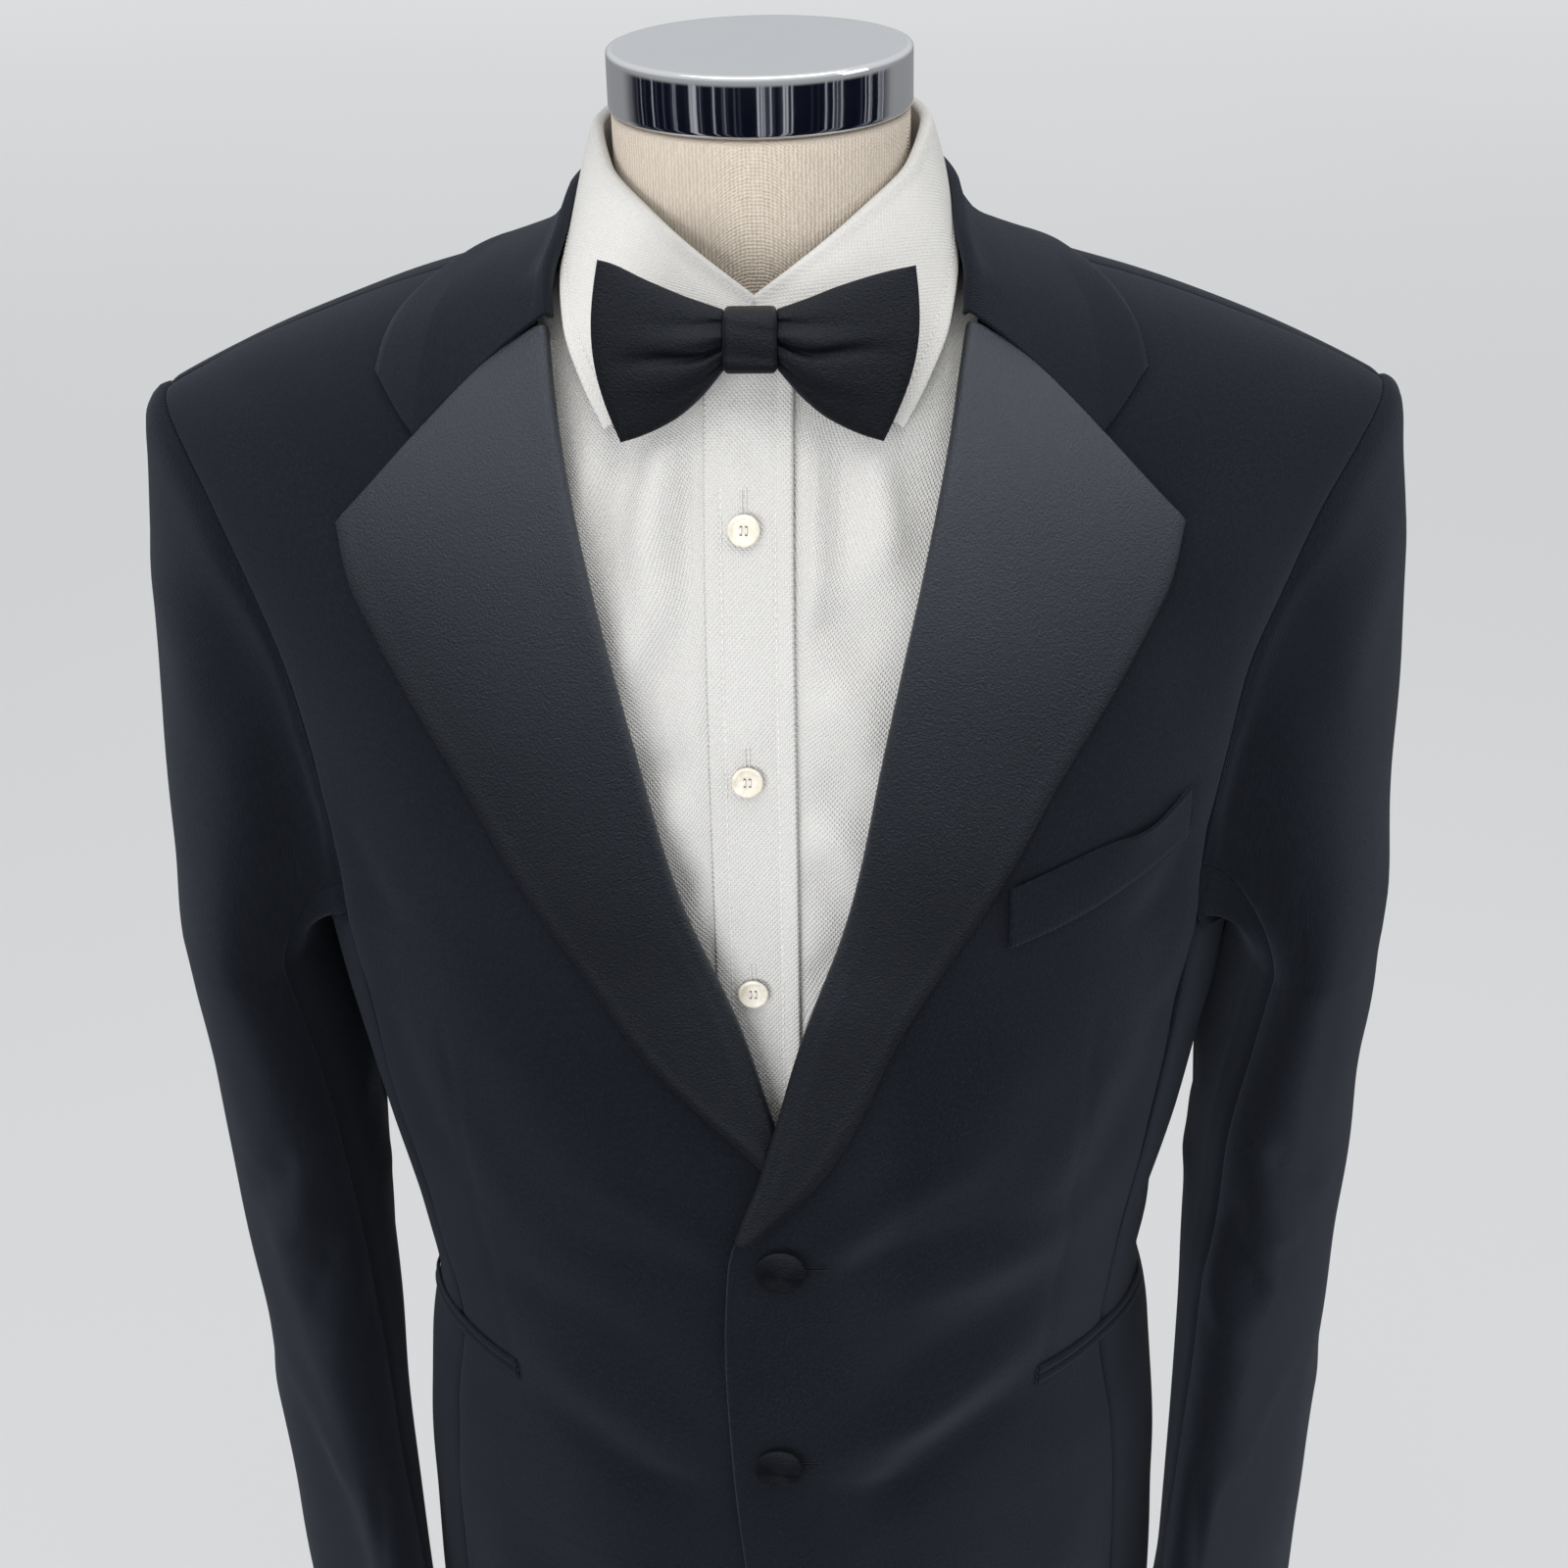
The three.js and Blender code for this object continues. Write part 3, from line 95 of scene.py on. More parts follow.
class Body:
    """A stack of superellipse rings that closes over to a shoulder ridge above its arm line."""

    def __init__(self, n, m, rings, ridge, mid=5.0, arm=-300.0):
        self.n, self.m, self.mid, self.arm = n, m, mid, arm
        self.half = Curve([(r[0], r[1]) for r in rings])
        self.front = Curve([(r[0], r[2]) for r in rings])
        self.back = Curve([(r[0], r[3]) for r in rings])
        self._ridge = Curve(ridge)

    def ridge(self, x):
        return self._ridge(np.abs(x))

    def far(self, z, face):
        return self.front(z) if face < 0 else self.back(z)

    def point(self, x, z, face):
        x, z = np.broadcast_arrays(np.asarray(x, float), np.asarray(z, float))
        c = np.clip(np.abs(x) / self.half(z), 0, 1)
        reach = (1 - c**self.n) ** (1 / self.n)
        q = np.clip((z - self.arm) / (self.ridge(x) - self.arm), 0, 1)
        reach = np.where(z > self.arm, reach * (1 - q**self.m) ** (1 / self.m), reach)
        return np.stack([x, self.mid + (self.far(z, face) - self.mid) * reach, z], -1)

    def ring(self, z, a):
        """Below the arm line, by angle: 0 at the side, positive to the front."""
        z, a = np.broadcast_arrays(np.asarray(z, float), np.asarray(a, float))
        far = np.where(a > 0, self.front(z), self.back(z))
        x = self.half(z) * np.abs(np.cos(a)) ** (2 / self.n)
        return np.stack([x, self.mid + (far - self.mid) * np.abs(np.sin(a)) ** (2 / self.n), z], -1)

    def level(self, p, upper):
        x, y, z = p[..., 0], p[..., 1], p[..., 2]
        far = np.where(y < self.mid, self.front(z), self.back(z))
        c, u = np.abs(x) / self.half(z), np.abs((y - self.mid) / (far - self.mid))
        low = (c**self.n + u**self.n) ** (1 / self.n) - 1
        q = np.maximum(0, (z - self.arm) / (self.ridge(x) - self.arm))
        sy = np.maximum(0.002, 1 - np.clip(c, 0, 1) ** self.n) ** (1 / self.n)
        high = ((u / sy) ** self.m + q**self.m) ** (1 / self.m) - 1
        return np.where(upper, high, low)

    def outward(self, p):
        upper, e = p[..., 2] > self.arm, 0.4
        g = np.stack(
            [(self.level(p + d, upper) - self.level(p - d, upper)) / (2 * e) for d in np.eye(3) * e], -1
        )
        size = np.maximum(np.linalg.norm(g, axis=-1), 1e-9)
        return g / size[..., None], self.level(p, upper) / size

    def clear(self, p, off):
        """Moves points out until they are at least off from the surface."""
        p = np.array(p, float)
        for _ in range(4):
            n, d = self.outward(p)
            p = p + n * np.maximum(0, off - d)[..., None]
        return p


JACKET = Body(
    2.2,
    2.2,
    [
        (-840, 178, -138, 146), (-760, 175, -142, 146), (-690, 173, -146, 144), (-640, 172, -148, 141),
        (-585, 168, -150, 133), (-531, 160, -151, 119), (-480, 167, -152, 111), (-430, 177, -153, 112),
        (-380, 186, -152, 118), (-330, 193, -150, 124), (-300, 197, -149, 126), (-220, 212, -149, 126),
        (-160, 236, -149, 126), (-110, 264, -149, 126), (-40, 290, -149, 126),
    ],
    [(0, -44), (40, -53), (75, -69), (107, -80), (144, -91), (180, -104), (210, -117), (238, -131), (264, -147)],
)
SHIRT = Body(
    2.2,
    2.2,
    [
        (-840, 158, -118, 126), (-690, 156, -126, 126), (-585, 154, -132, 118), (-531, 150, -136, 108),
        (-480, 154, -139, 101), (-430, 163, -141, 102), (-380, 172, -141, 107), (-330, 180, -140, 113),
        (-300, 184, -139, 115), (-220, 198, -139, 115), (-160, 222, -139, 115), (-110, 250, -139, 115),
        (-40, 276, -139, 115),
    ],
    [(0, -52), (40, -62), (75, -79), (107, -91), (144, -102), (180, -116), (205, -129), (225, -143), (260, -165)],
)
FORM = Body(
    2.1,
    2.2,
    [
        (-760, 146, -104, 114), (-690, 149, -112, 118), (-585, 147, -118, 110), (-500, 143, -120, 94),
        (-430, 152, -126, 93), (-380, 161, -130, 98), (-330, 169, -131, 104), (-300, 173, -130, 106),
        (-220, 188, -130, 106), (-160, 212, -130, 106), (-90, 244, -130, 106),
    ],
    [(0, -64), (40, -75), (75, -95), (107, -107), (144, -117), (170, -129), (185, -143), (194, -170), (199, -215)],
)
LEFT_EDGE = Curve([
    (-836, 118), (-832, 92), (-820, 66), (-800, 45), (-770, 25), (-735, 10), (-690, -2), (-650, -8),
    (-613, -11.5), (-552, -15.5), (-496, -17), (-438, -14), (-416, -8), (-398, -1.5), (-369, 6.5), (-332, 16.5),
    (-286, 33), (-264, 40), (-232, 48.5), (-202, 57), (-160, 66), (-125, 71.5), (-88, 76.5), (-72, 84),
])
LAPEL_EDGE = Curve([
    (-426, -8), (-416, 3), (-398, 17.5), (-373, 33), (-335, 51), (-286, 81.5), (-267, 92.5), (-238, 108),
    (-213, 123.5), (-188, 138.5), (-170, 148), (-152, 152.5),
])
GORGE = dict(in_x=76, in_z=-88, notch_x=123, tip_x=152, tip_z=-152, bow=5.6)
COLLAR_END = (140, -107)
FRONT_ARMHOLE = Curve([
    (-323, 167), (-300, 169), (-270, 172), (-240, 177), (-217, 182), (-190, 193), (-161, 209), (-143, 224), (-131, 237.5),
])
BACK_ARMHOLE = Curve([(-323, 167), (-290, 176), (-250, 186), (-210, 199), (-175, 213), (-150, 225), (-131, 237.5)])
SIDE_SEAM = 0.865
SEAM = 0.2
BACK_NECK = Curve([(0, -86), (30, -84), (60, -79), (84, -72)])
SLEEVE = [  # z, centre x, centre y, half of the long and short axis, turn, dent
    (-771, 208, -37, 66, 24, 33, 14), (-705, 211, -32, 66, 26, 30, 12), (-642, 214, -26, 66, 28, 26, 9),
    (-563, 216, -17, 67, 32, 20, 5), (-500, 218, -11, 70, 35, 15, 2), (-443, 219, -7, 75, 36, 11, 1),
    (-400, 221, -5, 80, 35, 8, 0), (-352, 223, -6, 88, 33, 5, 0),
]
SLEEVE_C = [Curve([(r[0], r[k]) for r in SLEEVE]) for k in range(1, 7)]
COLLAR = [  # t, fold x y z, leaf edge x y z
    (0.0, 76, -61, -83, 140, -55, -107), (0.12, 76, -47, -72, 137, -38, -98), (0.26, 73.0, -25, -62, 128, -17, -90),
    (0.42, 71.6, 5, -55, 113, 9, -85), (0.58, 64.5, 36, -51, 95, 43, -88), (0.78, 41.0, 62, -47, 57, 76, -95),
    (1.0, 0, 74, -45, 0, 88, -98),
]
COLLAR_C = [Curve([(r[0], r[k]) for r in COLLAR]) for k in range(1, 7)]
SHIRT_COLLAR = [  # t, foot x, back share, fold x y z, edge x y z
    (0.0, 0.35, 0, 0.3, -70.5, -74.5, 53, -94, -114), (0.1, 20, 0, 19, -63, -62, 61, -84, -101),
    (0.22, 42, 0, 38, -46, -50, 69, -66, -85), (0.36, 62, 0, 54.5, -22, -39, 72, -36, -71),
    (0.52, 72, 0.5, 60, 5, -29, 70, 7, -64), (0.7, 54, 1, 49, 38, -27, 56, 45, -61), (1.0, 0, 1, 0, 61.5, -26, 0, 69.5, -59),
]
SC = [Curve([(r[0], r[k]) for r in SHIRT_COLLAR]) for k in range(1, 9)]
NECK_LINE = Curve([(0, -97), (20, -93), (42, -87), (62, -83), (72, -80)])
SHIRT_NECK_BACK = Curve([(0, -82), (40, -83), (72, -80)])
PLACKET = (-16.5, 13.5)
SHIRT_BUTTONS = (-145.5, -233.0, -320.5)
JACKET_BUTTONS = ((5.5, -436.0), (2.5, -543.0))


# ---------------------------------------------------------------- mesh helpers
def to_world(p):
    p = np.asarray(p, float).reshape(-1, 3)
    return (p + (0, 0, CAP_TOP)) / 1000.0


def volume(v, f):
    q = np.array(f)
    a, b, c = v[q[:, 0]], v[q[:, 1]], v[q[:, 2]]
    s = np.einsum("ij,ij->i", a, np.cross(b, c)).sum()
    if q.shape[1] == 4:
        s += np.einsum("ij,ij->i", a, np.cross(c, v[q[:, 3]])).sum()
    return s


def make(name, verts, faces, uv=None, material=None, body="root"):
    """A smooth mesh object from points in millimetres in the neck frame."""
    me = bpy.data.meshes.new(name)
    w = to_world(verts)
    me.from_pydata(w.tolist(), [], [list(map(int, f)) for f in faces])
    me.polygons.foreach_set("use_smooth", [True] * len(me.polygons))
    if uv is not None:
        layer = me.uv_layers.new(name="grain")
        idx = np.zeros(len(me.loops), int)
        me.loops.foreach_get("vertex_index", idx)
        layer.data.foreach_set("uv", (np.asarray(uv)[idx] / 1000.0).astype(np.float32).ravel())
    me.update()
    ob = bpy.data.objects.new(name, me)
    scene.collection.objects.link(ob)
    if material:
        me.materials.append(material)
    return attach(ob, body) if body else ob


def lengths(grid):
    """Arc lengths along the rows and columns, as cloth coordinates."""
    u = np.zeros(grid.shape[:2])
    u[:, 1:] = np.cumsum(np.linalg.norm(np.diff(grid, axis=1), axis=-1), 1)
    u -= u[:, grid.shape[1] // 2][:, None]
    v = np.zeros(grid.shape[:2])
    v[1:] = np.cumsum(np.linalg.norm(np.diff(grid, axis=0), axis=-1), 0)
    return np.stack([u, v], -1)


def grid_normals(g, wrap=False):
    du = np.gradient(g, axis=0)
    dv = (np.roll(g, -1, 1) - np.roll(g, 1, 1)) if wrap else np.gradient(g, axis=1)
    return unit(np.cross(du, dv))


def shell(name, out, inn, material, wrap=False, edge=0.45):
    """A cloth wall between two grids of points, with rounded edges."""
    R, C = out.shape[:2]
    o = np.arange(R * C).reshape(R, C)
    i = o + R * C
    verts = [out.reshape(-1, 3), inn.reshape(-1, 3)]
    uv = lengths(out)
    uvs = [uv.reshape(-1, 2), uv.reshape(-1, 2)]
    faces = []

    def quads(a, flip):
        q = np.stack([a[:-1, :-1], a[:-1, 1:], a[1:, 1:], a[1:, :-1]], -1).reshape(-1, 4)
        faces.append(q[:, ::-1] if flip else q)

    if wrap:
        quads(np.concatenate([o, o[:, :1]], 1), False)
        quads(np.concatenate([i, i[:, :1]], 1), True)
        loops = [([(0, c) for c in range(C)], False), ([(R - 1, c) for c in range(C)], True)]
    else:
        quads(o, False)
        quads(i, True)
        ring = [(0, c) for c in range(C)] + [(r, C - 1) for r in range(1, R)]
        ring += [(R - 1, c) for c in range(C - 2, -1, -1)] + [(r, 0) for r in range(R - 2, 0, -1)]
        loops = [(ring, False)]
    base = 2 * R * C
    for ring, flip in loops:
        rr = np.array([p[0] for p in ring])
        cc = np.array([p[1] for p in ring])
        r_in = np.where(rr == 0, 1, np.where(rr == R - 1, R - 2, rr))
        c_in = cc if wrap else np.where(cc == 0, 1, np.where(cc == C - 1, C - 2, cc))
        a, b = out[rr, cc], inn[rr, cc]
        thick = np.linalg.norm(a - b, axis=-1, keepdims=True)
        away = np.where((rr != r_in)[:, None], unit(a - out[r_in, cc]), 0) + np.where(
            (cc != c_in)[:, None], unit(a - out[rr, c_in]), 0
        )
        verts.append((a + b) / 2 + unit(away) * thick * edge)
        uvs.append(uv[rr, cc])
        k = np.arange(len(ring))
        n = np.roll(k, -1)
        ok, on, ik, inx = o[rr, cc], o[rr[n], cc[n]], i[rr, cc], i[rr[n], cc[n]]
        q = np.concatenate([np.stack([on, ok, base + k, base + n], -1), np.stack([base + n, base + k, ik, inx], -1)])
        faces.append(q[:, ::-1] if flip else q)
        base += len(ring)
    verts = np.concatenate(verts)
    faces = np.concatenate(faces)
    if volume(verts, faces) < 0:
        faces = faces[:, ::-1]
    return make(name, verts, faces, np.concatenate(uvs), material)


def rings(name, loops, material, uv_scale=True):
    """A solid through closed loops of points, closed at both ends by a fan."""
    g = np.array(loops)
    R, C = g.shape[:2]
    o = np.arange(R * C).reshape(R, C)
    w = np.concatenate([o, o[:, :1]], 1)
    q = np.stack([w[:-1, :-1], w[:-1, 1:], w[1:, 1:], w[1:, :-1]], -1).reshape(-1, 4)
    verts = np.concatenate([g.reshape(-1, 3), [g[0].mean(0)], [g[-1].mean(0)]])
    k, n = np.arange(C), np.roll(np.arange(C), -1)
    f0 = np.stack([np.full(C, R * C), o[0][n], o[0][k]], -1)
    f1 = np.stack([np.full(C, R * C + 1), o[-1][k], o[-1][n]], -1)
    faces = [list(x) for x in q] + [list(x) for x in f0] + [list(x) for x in f1]
    s = volume(verts, q) + volume(verts, f0) + volume(verts, f1)
    if s < 0:
        faces = [x[::-1] for x in faces]
    u = np.zeros((R, C))
    u[:, 1:] = np.cumsum(np.linalg.norm(np.diff(g, axis=1), axis=-1), 1)
    v = np.zeros((R, C))
    v[1:] = np.cumsum(np.linalg.norm(np.diff(g, axis=0), axis=-1), 0)
    uv = np.concatenate([np.stack([u, v], -1).reshape(-1, 2), [[0, 0]], [[0, v.max()]]])
    return make(name, verts, faces, uv, material)


def lathe(profile, segments):
    """Loops of a turned shape from (radius, z) rows, round the z axis."""
    a = np.linspace(0, 2 * math.pi, segments, endpoint=False)
    return [np.stack([r * np.cos(a), r * np.sin(a), np.full(segments, z)], -1) for r, z in profile]


def folds(x, z, rows):
    """Listed folds: each row is x0, z0, x1, z1, width, height, bend. Height is along the normal, minus for a trough."""
    d = np.zeros(np.broadcast(x, z).shape)
    for x0, z0, x1, z1, w, h, bend in rows:
        ux, uz = x1 - x0, z1 - z0
        size = math.hypot(ux, uz)
        ux, uz = ux / size, uz / size
        t = ((x - x0) * ux + (z - z0) * uz) / size
        s = (x - x0) * -uz + (z - z0) * ux - bend * 4 * np.clip(t, 0, 1) * (1 - np.clip(t, 0, 1))
        taper = ease(t / 0.32) * ease((1 - t) / 0.38)
        d += h * np.exp(-((s / w) ** 2)) * taper
    return d


def ripple(x, z, seed, size=60.0, amount=0.5):
    """Slow unevenness of cloth, the same on each run."""
    rng = np.random.RandomState(seed)
    d = 0
    for _ in range(6):
        a, p, k = rng.uniform(0, 2 * math.pi), rng.uniform(0, 6.3), 2 * math.pi / (size * rng.uniform(0.7, 1.9))
        d = d + np.sin((x * math.cos(a) + z * math.sin(a)) * k + p)
    return d * amount / 6 * 1.6


def near(v, width):
    return np.exp(-((v / width) ** 2))


# ---------------------------------------------------------------- materials
def material(name, color, rough, **inputs):
    m = bpy.data.materials.new(name)
    m.use_nodes = True
    b = m.node_tree.nodes["Principled BSDF"]
    b.inputs["Base Color"].default_value = (*color, 1)
    b.inputs["Roughness"].default_value = rough
    for k, v in inputs.items():
        b.inputs[k.replace("_", " ")].default_value = v
    return m, m.node_tree, b


def node(tree, kind, **settings):
    n = tree.nodes.new(kind)
    for k, v in settings.items():
        if k in n.inputs:
            n.inputs[k].default_value = v
        else:
            setattr(n, k, v)
    return n


def grain(tree, scale, turn=0.0):
    """Cloth coordinates in metres, turned and scaled."""
    uv = node(tree, "ShaderNodeUVMap", uv_map="grain")
    mp = node(tree, "ShaderNodeMapping")
    mp.inputs["Scale"].default_value = scale
    mp.inputs["Rotation"].default_value = (0, 0, turn)
    tree.links.new(uv.outputs[0], mp.inputs["Vector"])
    return mp.outputs[0]


def noise(tree, vector, scale, detail=2.0, rough=0.5):
    n = node(tree, "ShaderNodeTexNoise", Scale=scale, Detail=detail, Roughness=rough)
    tree.links.new(vector, n.inputs["Vector"])
    return n.outputs["Fac"]


def wave(tree, vector, scale, distortion=0.0, direction="X"):
    n = node(tree, "ShaderNodeTexWave", wave_type="BANDS", bands_direction=direction, Scale=scale, Distortion=distortion)
    n.inputs["Detail Scale"].default_value = 2.0
    tree.links.new(vector, n.inputs["Vector"])
    return n.outputs["Fac"]


def math_node(tree, op, a, b):
    n = node(tree, "ShaderNodeMath", operation=op)
    for k, v in enumerate((a, b)):
        if isinstance(v, (int, float)):
            n.inputs[k].default_value = v
        else:
            tree.links.new(v, n.inputs[k])
    return n.outputs[0]


def ramp(tree, fac, stops):
    n = node(tree, "ShaderNodeValToRGB")
    while len(n.color_ramp.elements) < len(stops):
        n.color_ramp.elements.new(0.5)
    for e, (p, c) in zip(n.color_ramp.elements, stops):
        e.position, e.color = p, (*c, 1)
    tree.links.new(fac, n.inputs[0])
    return n.outputs[0]


def bump(tree, shader, height, strength, distance):
    n = node(tree, "ShaderNodeBump", Strength=strength, Distance=distance)
    tree.links.new(height, n.inputs["Height"])
    tree.links.new(n.outputs[0], shader.inputs["Normal"])
    return n


def wool_material():
    m, t, b = material("wool", (0.013, 0.015, 0.0215), 0.86, Specular_IOR_Level=0.32, Sheen_Weight=0.10, Sheen_Roughness=0.42)
    b.inputs["Sheen Tint"].default_value = (0.62, 0.70, 0.86, 1)
    b.inputs["Specular Tint"].default_value = (0.68, 0.78, 1.0, 1)
    twill = wave(t, grain(t, (1, 1, 1), math.radians(62)), 300.0, 1.4)
    yarn = noise(t, grain(t, (1100, 560, 1)), 1.0, 3.0, 0.7)
    melange = noise(t, grain(t, (900, 520, 1)), 1.0, 3.0, 0.7)
    broad = noise(t, grain(t, (11, 11, 1)), 1.0, 2.0, 0.5)
    mixed = math_node(t, "ADD", math_node(t, "MULTIPLY", melange, 0.8), math_node(t, "MULTIPLY", broad, 0.2))
    col = ramp(t, mixed, [(0.30, (0.0018, 0.0022, 0.0033)), (0.5, (0.0040, 0.0047, 0.0067)), (0.70, (0.0094, 0.0108, 0.0146))])
    t.links.new(col, b.inputs["Base Color"])
    h = math_node(t, "ADD", math_node(t, "MULTIPLY", twill, 0.45), math_node(t, "ADD", math_node(t, "MULTIPLY", yarn, 0.6), math_node(t, "MULTIPLY", melange, 0.6)))
    bump(t, b, h, 0.6, 0.0006)
    return m


def satin_material(name, tone=1.0, rough=0.36, level=0.5):
    m, t, b = material(name, (0.004 * tone, 0.0044 * tone, 0.006 * tone), rough, Specular_IOR_Level=level, Sheen_Weight=0.012, Sheen_Roughness=0.3)
    b.inputs["Sheen Tint"].default_value = (0.75, 0.79, 0.88, 1)
    b.inputs["Specular Tint"].default_value = (0.78, 0.86, 1.0, 1)
    b.inputs["Anisotropic"].default_value = 0.35
    thread = noise(t, grain(t, (1900, 420, 1)), 1.0, 2.0, 0.6)
    slub = noise(t, grain(t, (720, 1100, 1)), 1.0, 3.0, 0.75)
    soft = noise(t, grain(t, (14, 10, 1)), 1.0, 2.0, 0.5)
    r = math_node(t, "ADD", math_node(t, "MULTIPLY", soft, 0.10), rough - 0.05)
    t.links.new(r, b.inputs["Roughness"])
    col = ramp(t, slub, [(0.3, (0.0028 * tone, 0.0031 * tone, 0.0045 * tone)), (0.7, (0.0056 * tone, 0.006 * tone, 0.008 * tone))])
    t.links.new(col, b.inputs["Base Color"])
    bump(t, b, math_node(t, "ADD", math_node(t, "MULTIPLY", thread, 0.6), math_node(t, "MULTIPLY", slub, 0.9)), 0.75, 0.0008)
    return m


def cotton_material(name, plain=False):
    m, t, b = material(name, (0.81, 0.80, 0.775), 0.88, Specular_IOR_Level=0.15, Sheen_Weight=0.05, Sheen_Roughness=0.5)
    a = wave(t, grain(t, (1, 1, 1), math.radians(41)), 240.0, 0.8)
    c = wave(t, grain(t, (1, 1, 1), math.radians(-41)), 240.0, 0.8)
    fine = noise(t, grain(t, (1100, 1100, 1)), 1.0, 2.0, 0.6)
    broad = noise(t, grain(t, (18, 18, 1)), 1.0, 2.0, 0.5)
    weave = math_node(t, "MULTIPLY", a, c)
    k = 0.55 if plain else 1.0
    f = math_node(t, "ADD", math_node(t, "MULTIPLY", weave, 0.55 * k), math_node(t, "ADD", math_node(t, "MULTIPLY", broad, 0.25), math_node(t, "MULTIPLY", fine, 0.25)))
    col = ramp(t, f, [(0.16, (0.560, 0.553, 0.534)), (0.42, (0.680, 0.672, 0.652)), (0.8, (0.750, 0.744, 0.728))])
    t.links.new(col, b.inputs["Base Color"])
    h = math_node(t, "ADD", math_node(t, "MULTIPLY", weave, 0.45 if plain else 0.9), math_node(t, "MULTIPLY", fine, 0.4))
    bump(t, b, h, 0.75, 0.0007)
    return m


def linen_material():
    m, t, b = material("linen", (0.72, 0.635, 0.54), 0.93, Specular_IOR_Level=0.1)
    a = wave(t, grain(t, (1, 1, 1)), 205.0, 2.6, "X")
    c = wave(t, grain(t, (1, 1, 1)), 240.0, 2.6, "Y")
    slub = noise(t, grain(t, (150, 800, 1)), 1.0, 3.0, 0.75)
    slub2 = noise(t, grain(t, (700, 90, 1)), 1.0, 3.0, 0.75)
    h = math_node(t, "ADD", math_node(t, "ADD", math_node(t, "MULTIPLY", a, 0.8), math_node(t, "MULTIPLY", c, 0.6)), math_node(t, "ADD", math_node(t, "MULTIPLY", slub, 1.3), math_node(t, "MULTIPLY", slub2, 1.3)))
    col = ramp(t, math_node(t, "MULTIPLY", h, 0.25), [(0.28, (0.50, 0.42, 0.34)), (0.5, (0.655, 0.575, 0.48)), (0.72, (0.755, 0.68, 0.59))])
    t.links.new(col, b.inputs["Base Color"])
    bump(t, b, h, 0.6, 0.0006)
    return m


def pearl_material():
    m, t, b = material("pearl", (0.76, 0.71, 0.60), 0.24, Specular_IOR_Level=0.6)
    tc = node(t, "ShaderNodeTexCoord")
    n = noise(t, tc.outputs["Object"], 260.0, 3.0, 0.6)
    col = ramp(t, n, [(0.3, (0.66, 0.60, 0.48)), (0.55, (0.80, 0.76, 0.66)), (0.8, (0.88, 0.85, 0.77))])
    t.links.new(col, b.inputs["Base Color"])
    b.inputs["Coat Weight"].default_value = 0.5
    b.inputs["Coat Roughness"].default_value = 0.12
    return m


def chrome_material(name, rough, streak=0.0, tone=(0.80, 0.81, 0.825)):
    m, t, b = material(name, tone, rough, Metallic=1.0)
    tc = node(t, "ShaderNodeTexCoord")
    mp = node(t, "ShaderNodeMapping")
    mp.inputs["Scale"].default_value = (60, 60, 60)
    t.links.new(tc.outputs["Object"], mp.inputs["Vector"])
    n = noise(t, mp.outputs[0], 1.0, 3.0, 0.6)
    r = math_node(t, "ADD", math_node(t, "MULTIPLY", n, 0.05 + streak), rough)
    t.links.new(r, b.inputs["Roughness"])
    return m


WOOL = wool_material()
LAPEL_SATIN = satin_material("lapel_satin", 0.75, 0.43, 0.98)
BOW_SATIN = satin_material("bow_satin", 0.9, 0.44, 0.34)
COTTON = cotton_material("shirt_cotton")
COLLAR_COTTON = cotton_material("collar_cotton", True)
LINEN = linen_material()
PEARL = pearl_material()
CHROME = chrome_material("polished_chrome", 0.03)
CHROME_TOP = chrome_material("brushed_chrome", 0.27, 0.06, (0.66, 0.68, 0.70))
THREAD, _t, _b = material("white_thread", (0.80, 0.79, 0.77), 0.7)
_b.inputs["Sheen Weight"].default_value = 0.1
# painted shade: this dark brown stands for the shade inside the pearl buttons' four holes
HOLE_SHADE, _t, _b = material("button_hole_shade", (0.16, 0.125, 0.085), 0.6)
BLACK_THREAD, _t, _b = material("black_thread", (0.010, 0.011, 0.015), 0.5)


def thread_run(name, points, normals, pitch, gap, width, mat, owner_list=None):
    """A row of small stitches along a line of points, lying on the cloth."""
    seg = np.concatenate([[0], np.cumsum(np.linalg.norm(np.diff(points, axis=0), axis=-1))])
    total, verts, faces, uv = seg[-1], [], [], []
    count = int(total / pitch)
    for k in range(count):
        a, b = k * pitch, k * pitch + pitch - gap
        ts = np.linspace(a, b, 4)
        p = np.stack([np.interp(ts, seg, points[:, c]) for c in range(3)], -1)
        n = unit(np.stack([np.interp(ts, seg, normals[:, c]) for c in range(3)], -1))
        d = unit(p[-1] - p[0])
        s = unit(np.cross(n, d))
        rise = width * 0.5 * np.array([0.05, 0.9, 0.9, 0.05])[:, None]
        base = len(verts)
        for j in range(4):
            w = width * (0.32 if j in (0, 3) else 0.5)
            c = p[j] + n[j] * rise[j]
            for q in (s[j] * w, n[j] * w * 0.8, -s[j] * w, -n[j] * w * 0.8):
                verts.append(c + q)
                uv.append((0, 0))
        for j in range(3):
            for q in range(4):
                q2 = (q + 1) % 4
                faces.append([base + 4 * j + q, base + 4 * j + q2, base + 4 * j + 4 + q2, base + 4 * j + 4 + q])
        faces.append([base + 3, base + 2, base + 1, base])
        faces.append([base + 12, base + 13, base + 14, base + 15])
    if not verts:
        return None
    return make(name, np.array(verts), faces, np.array(uv, float), mat)


# ---------------------------------------------------------------- jacket panels
def rise(S, deg):
    return np.sin(np.radians(deg)) ** (2 / S.m)


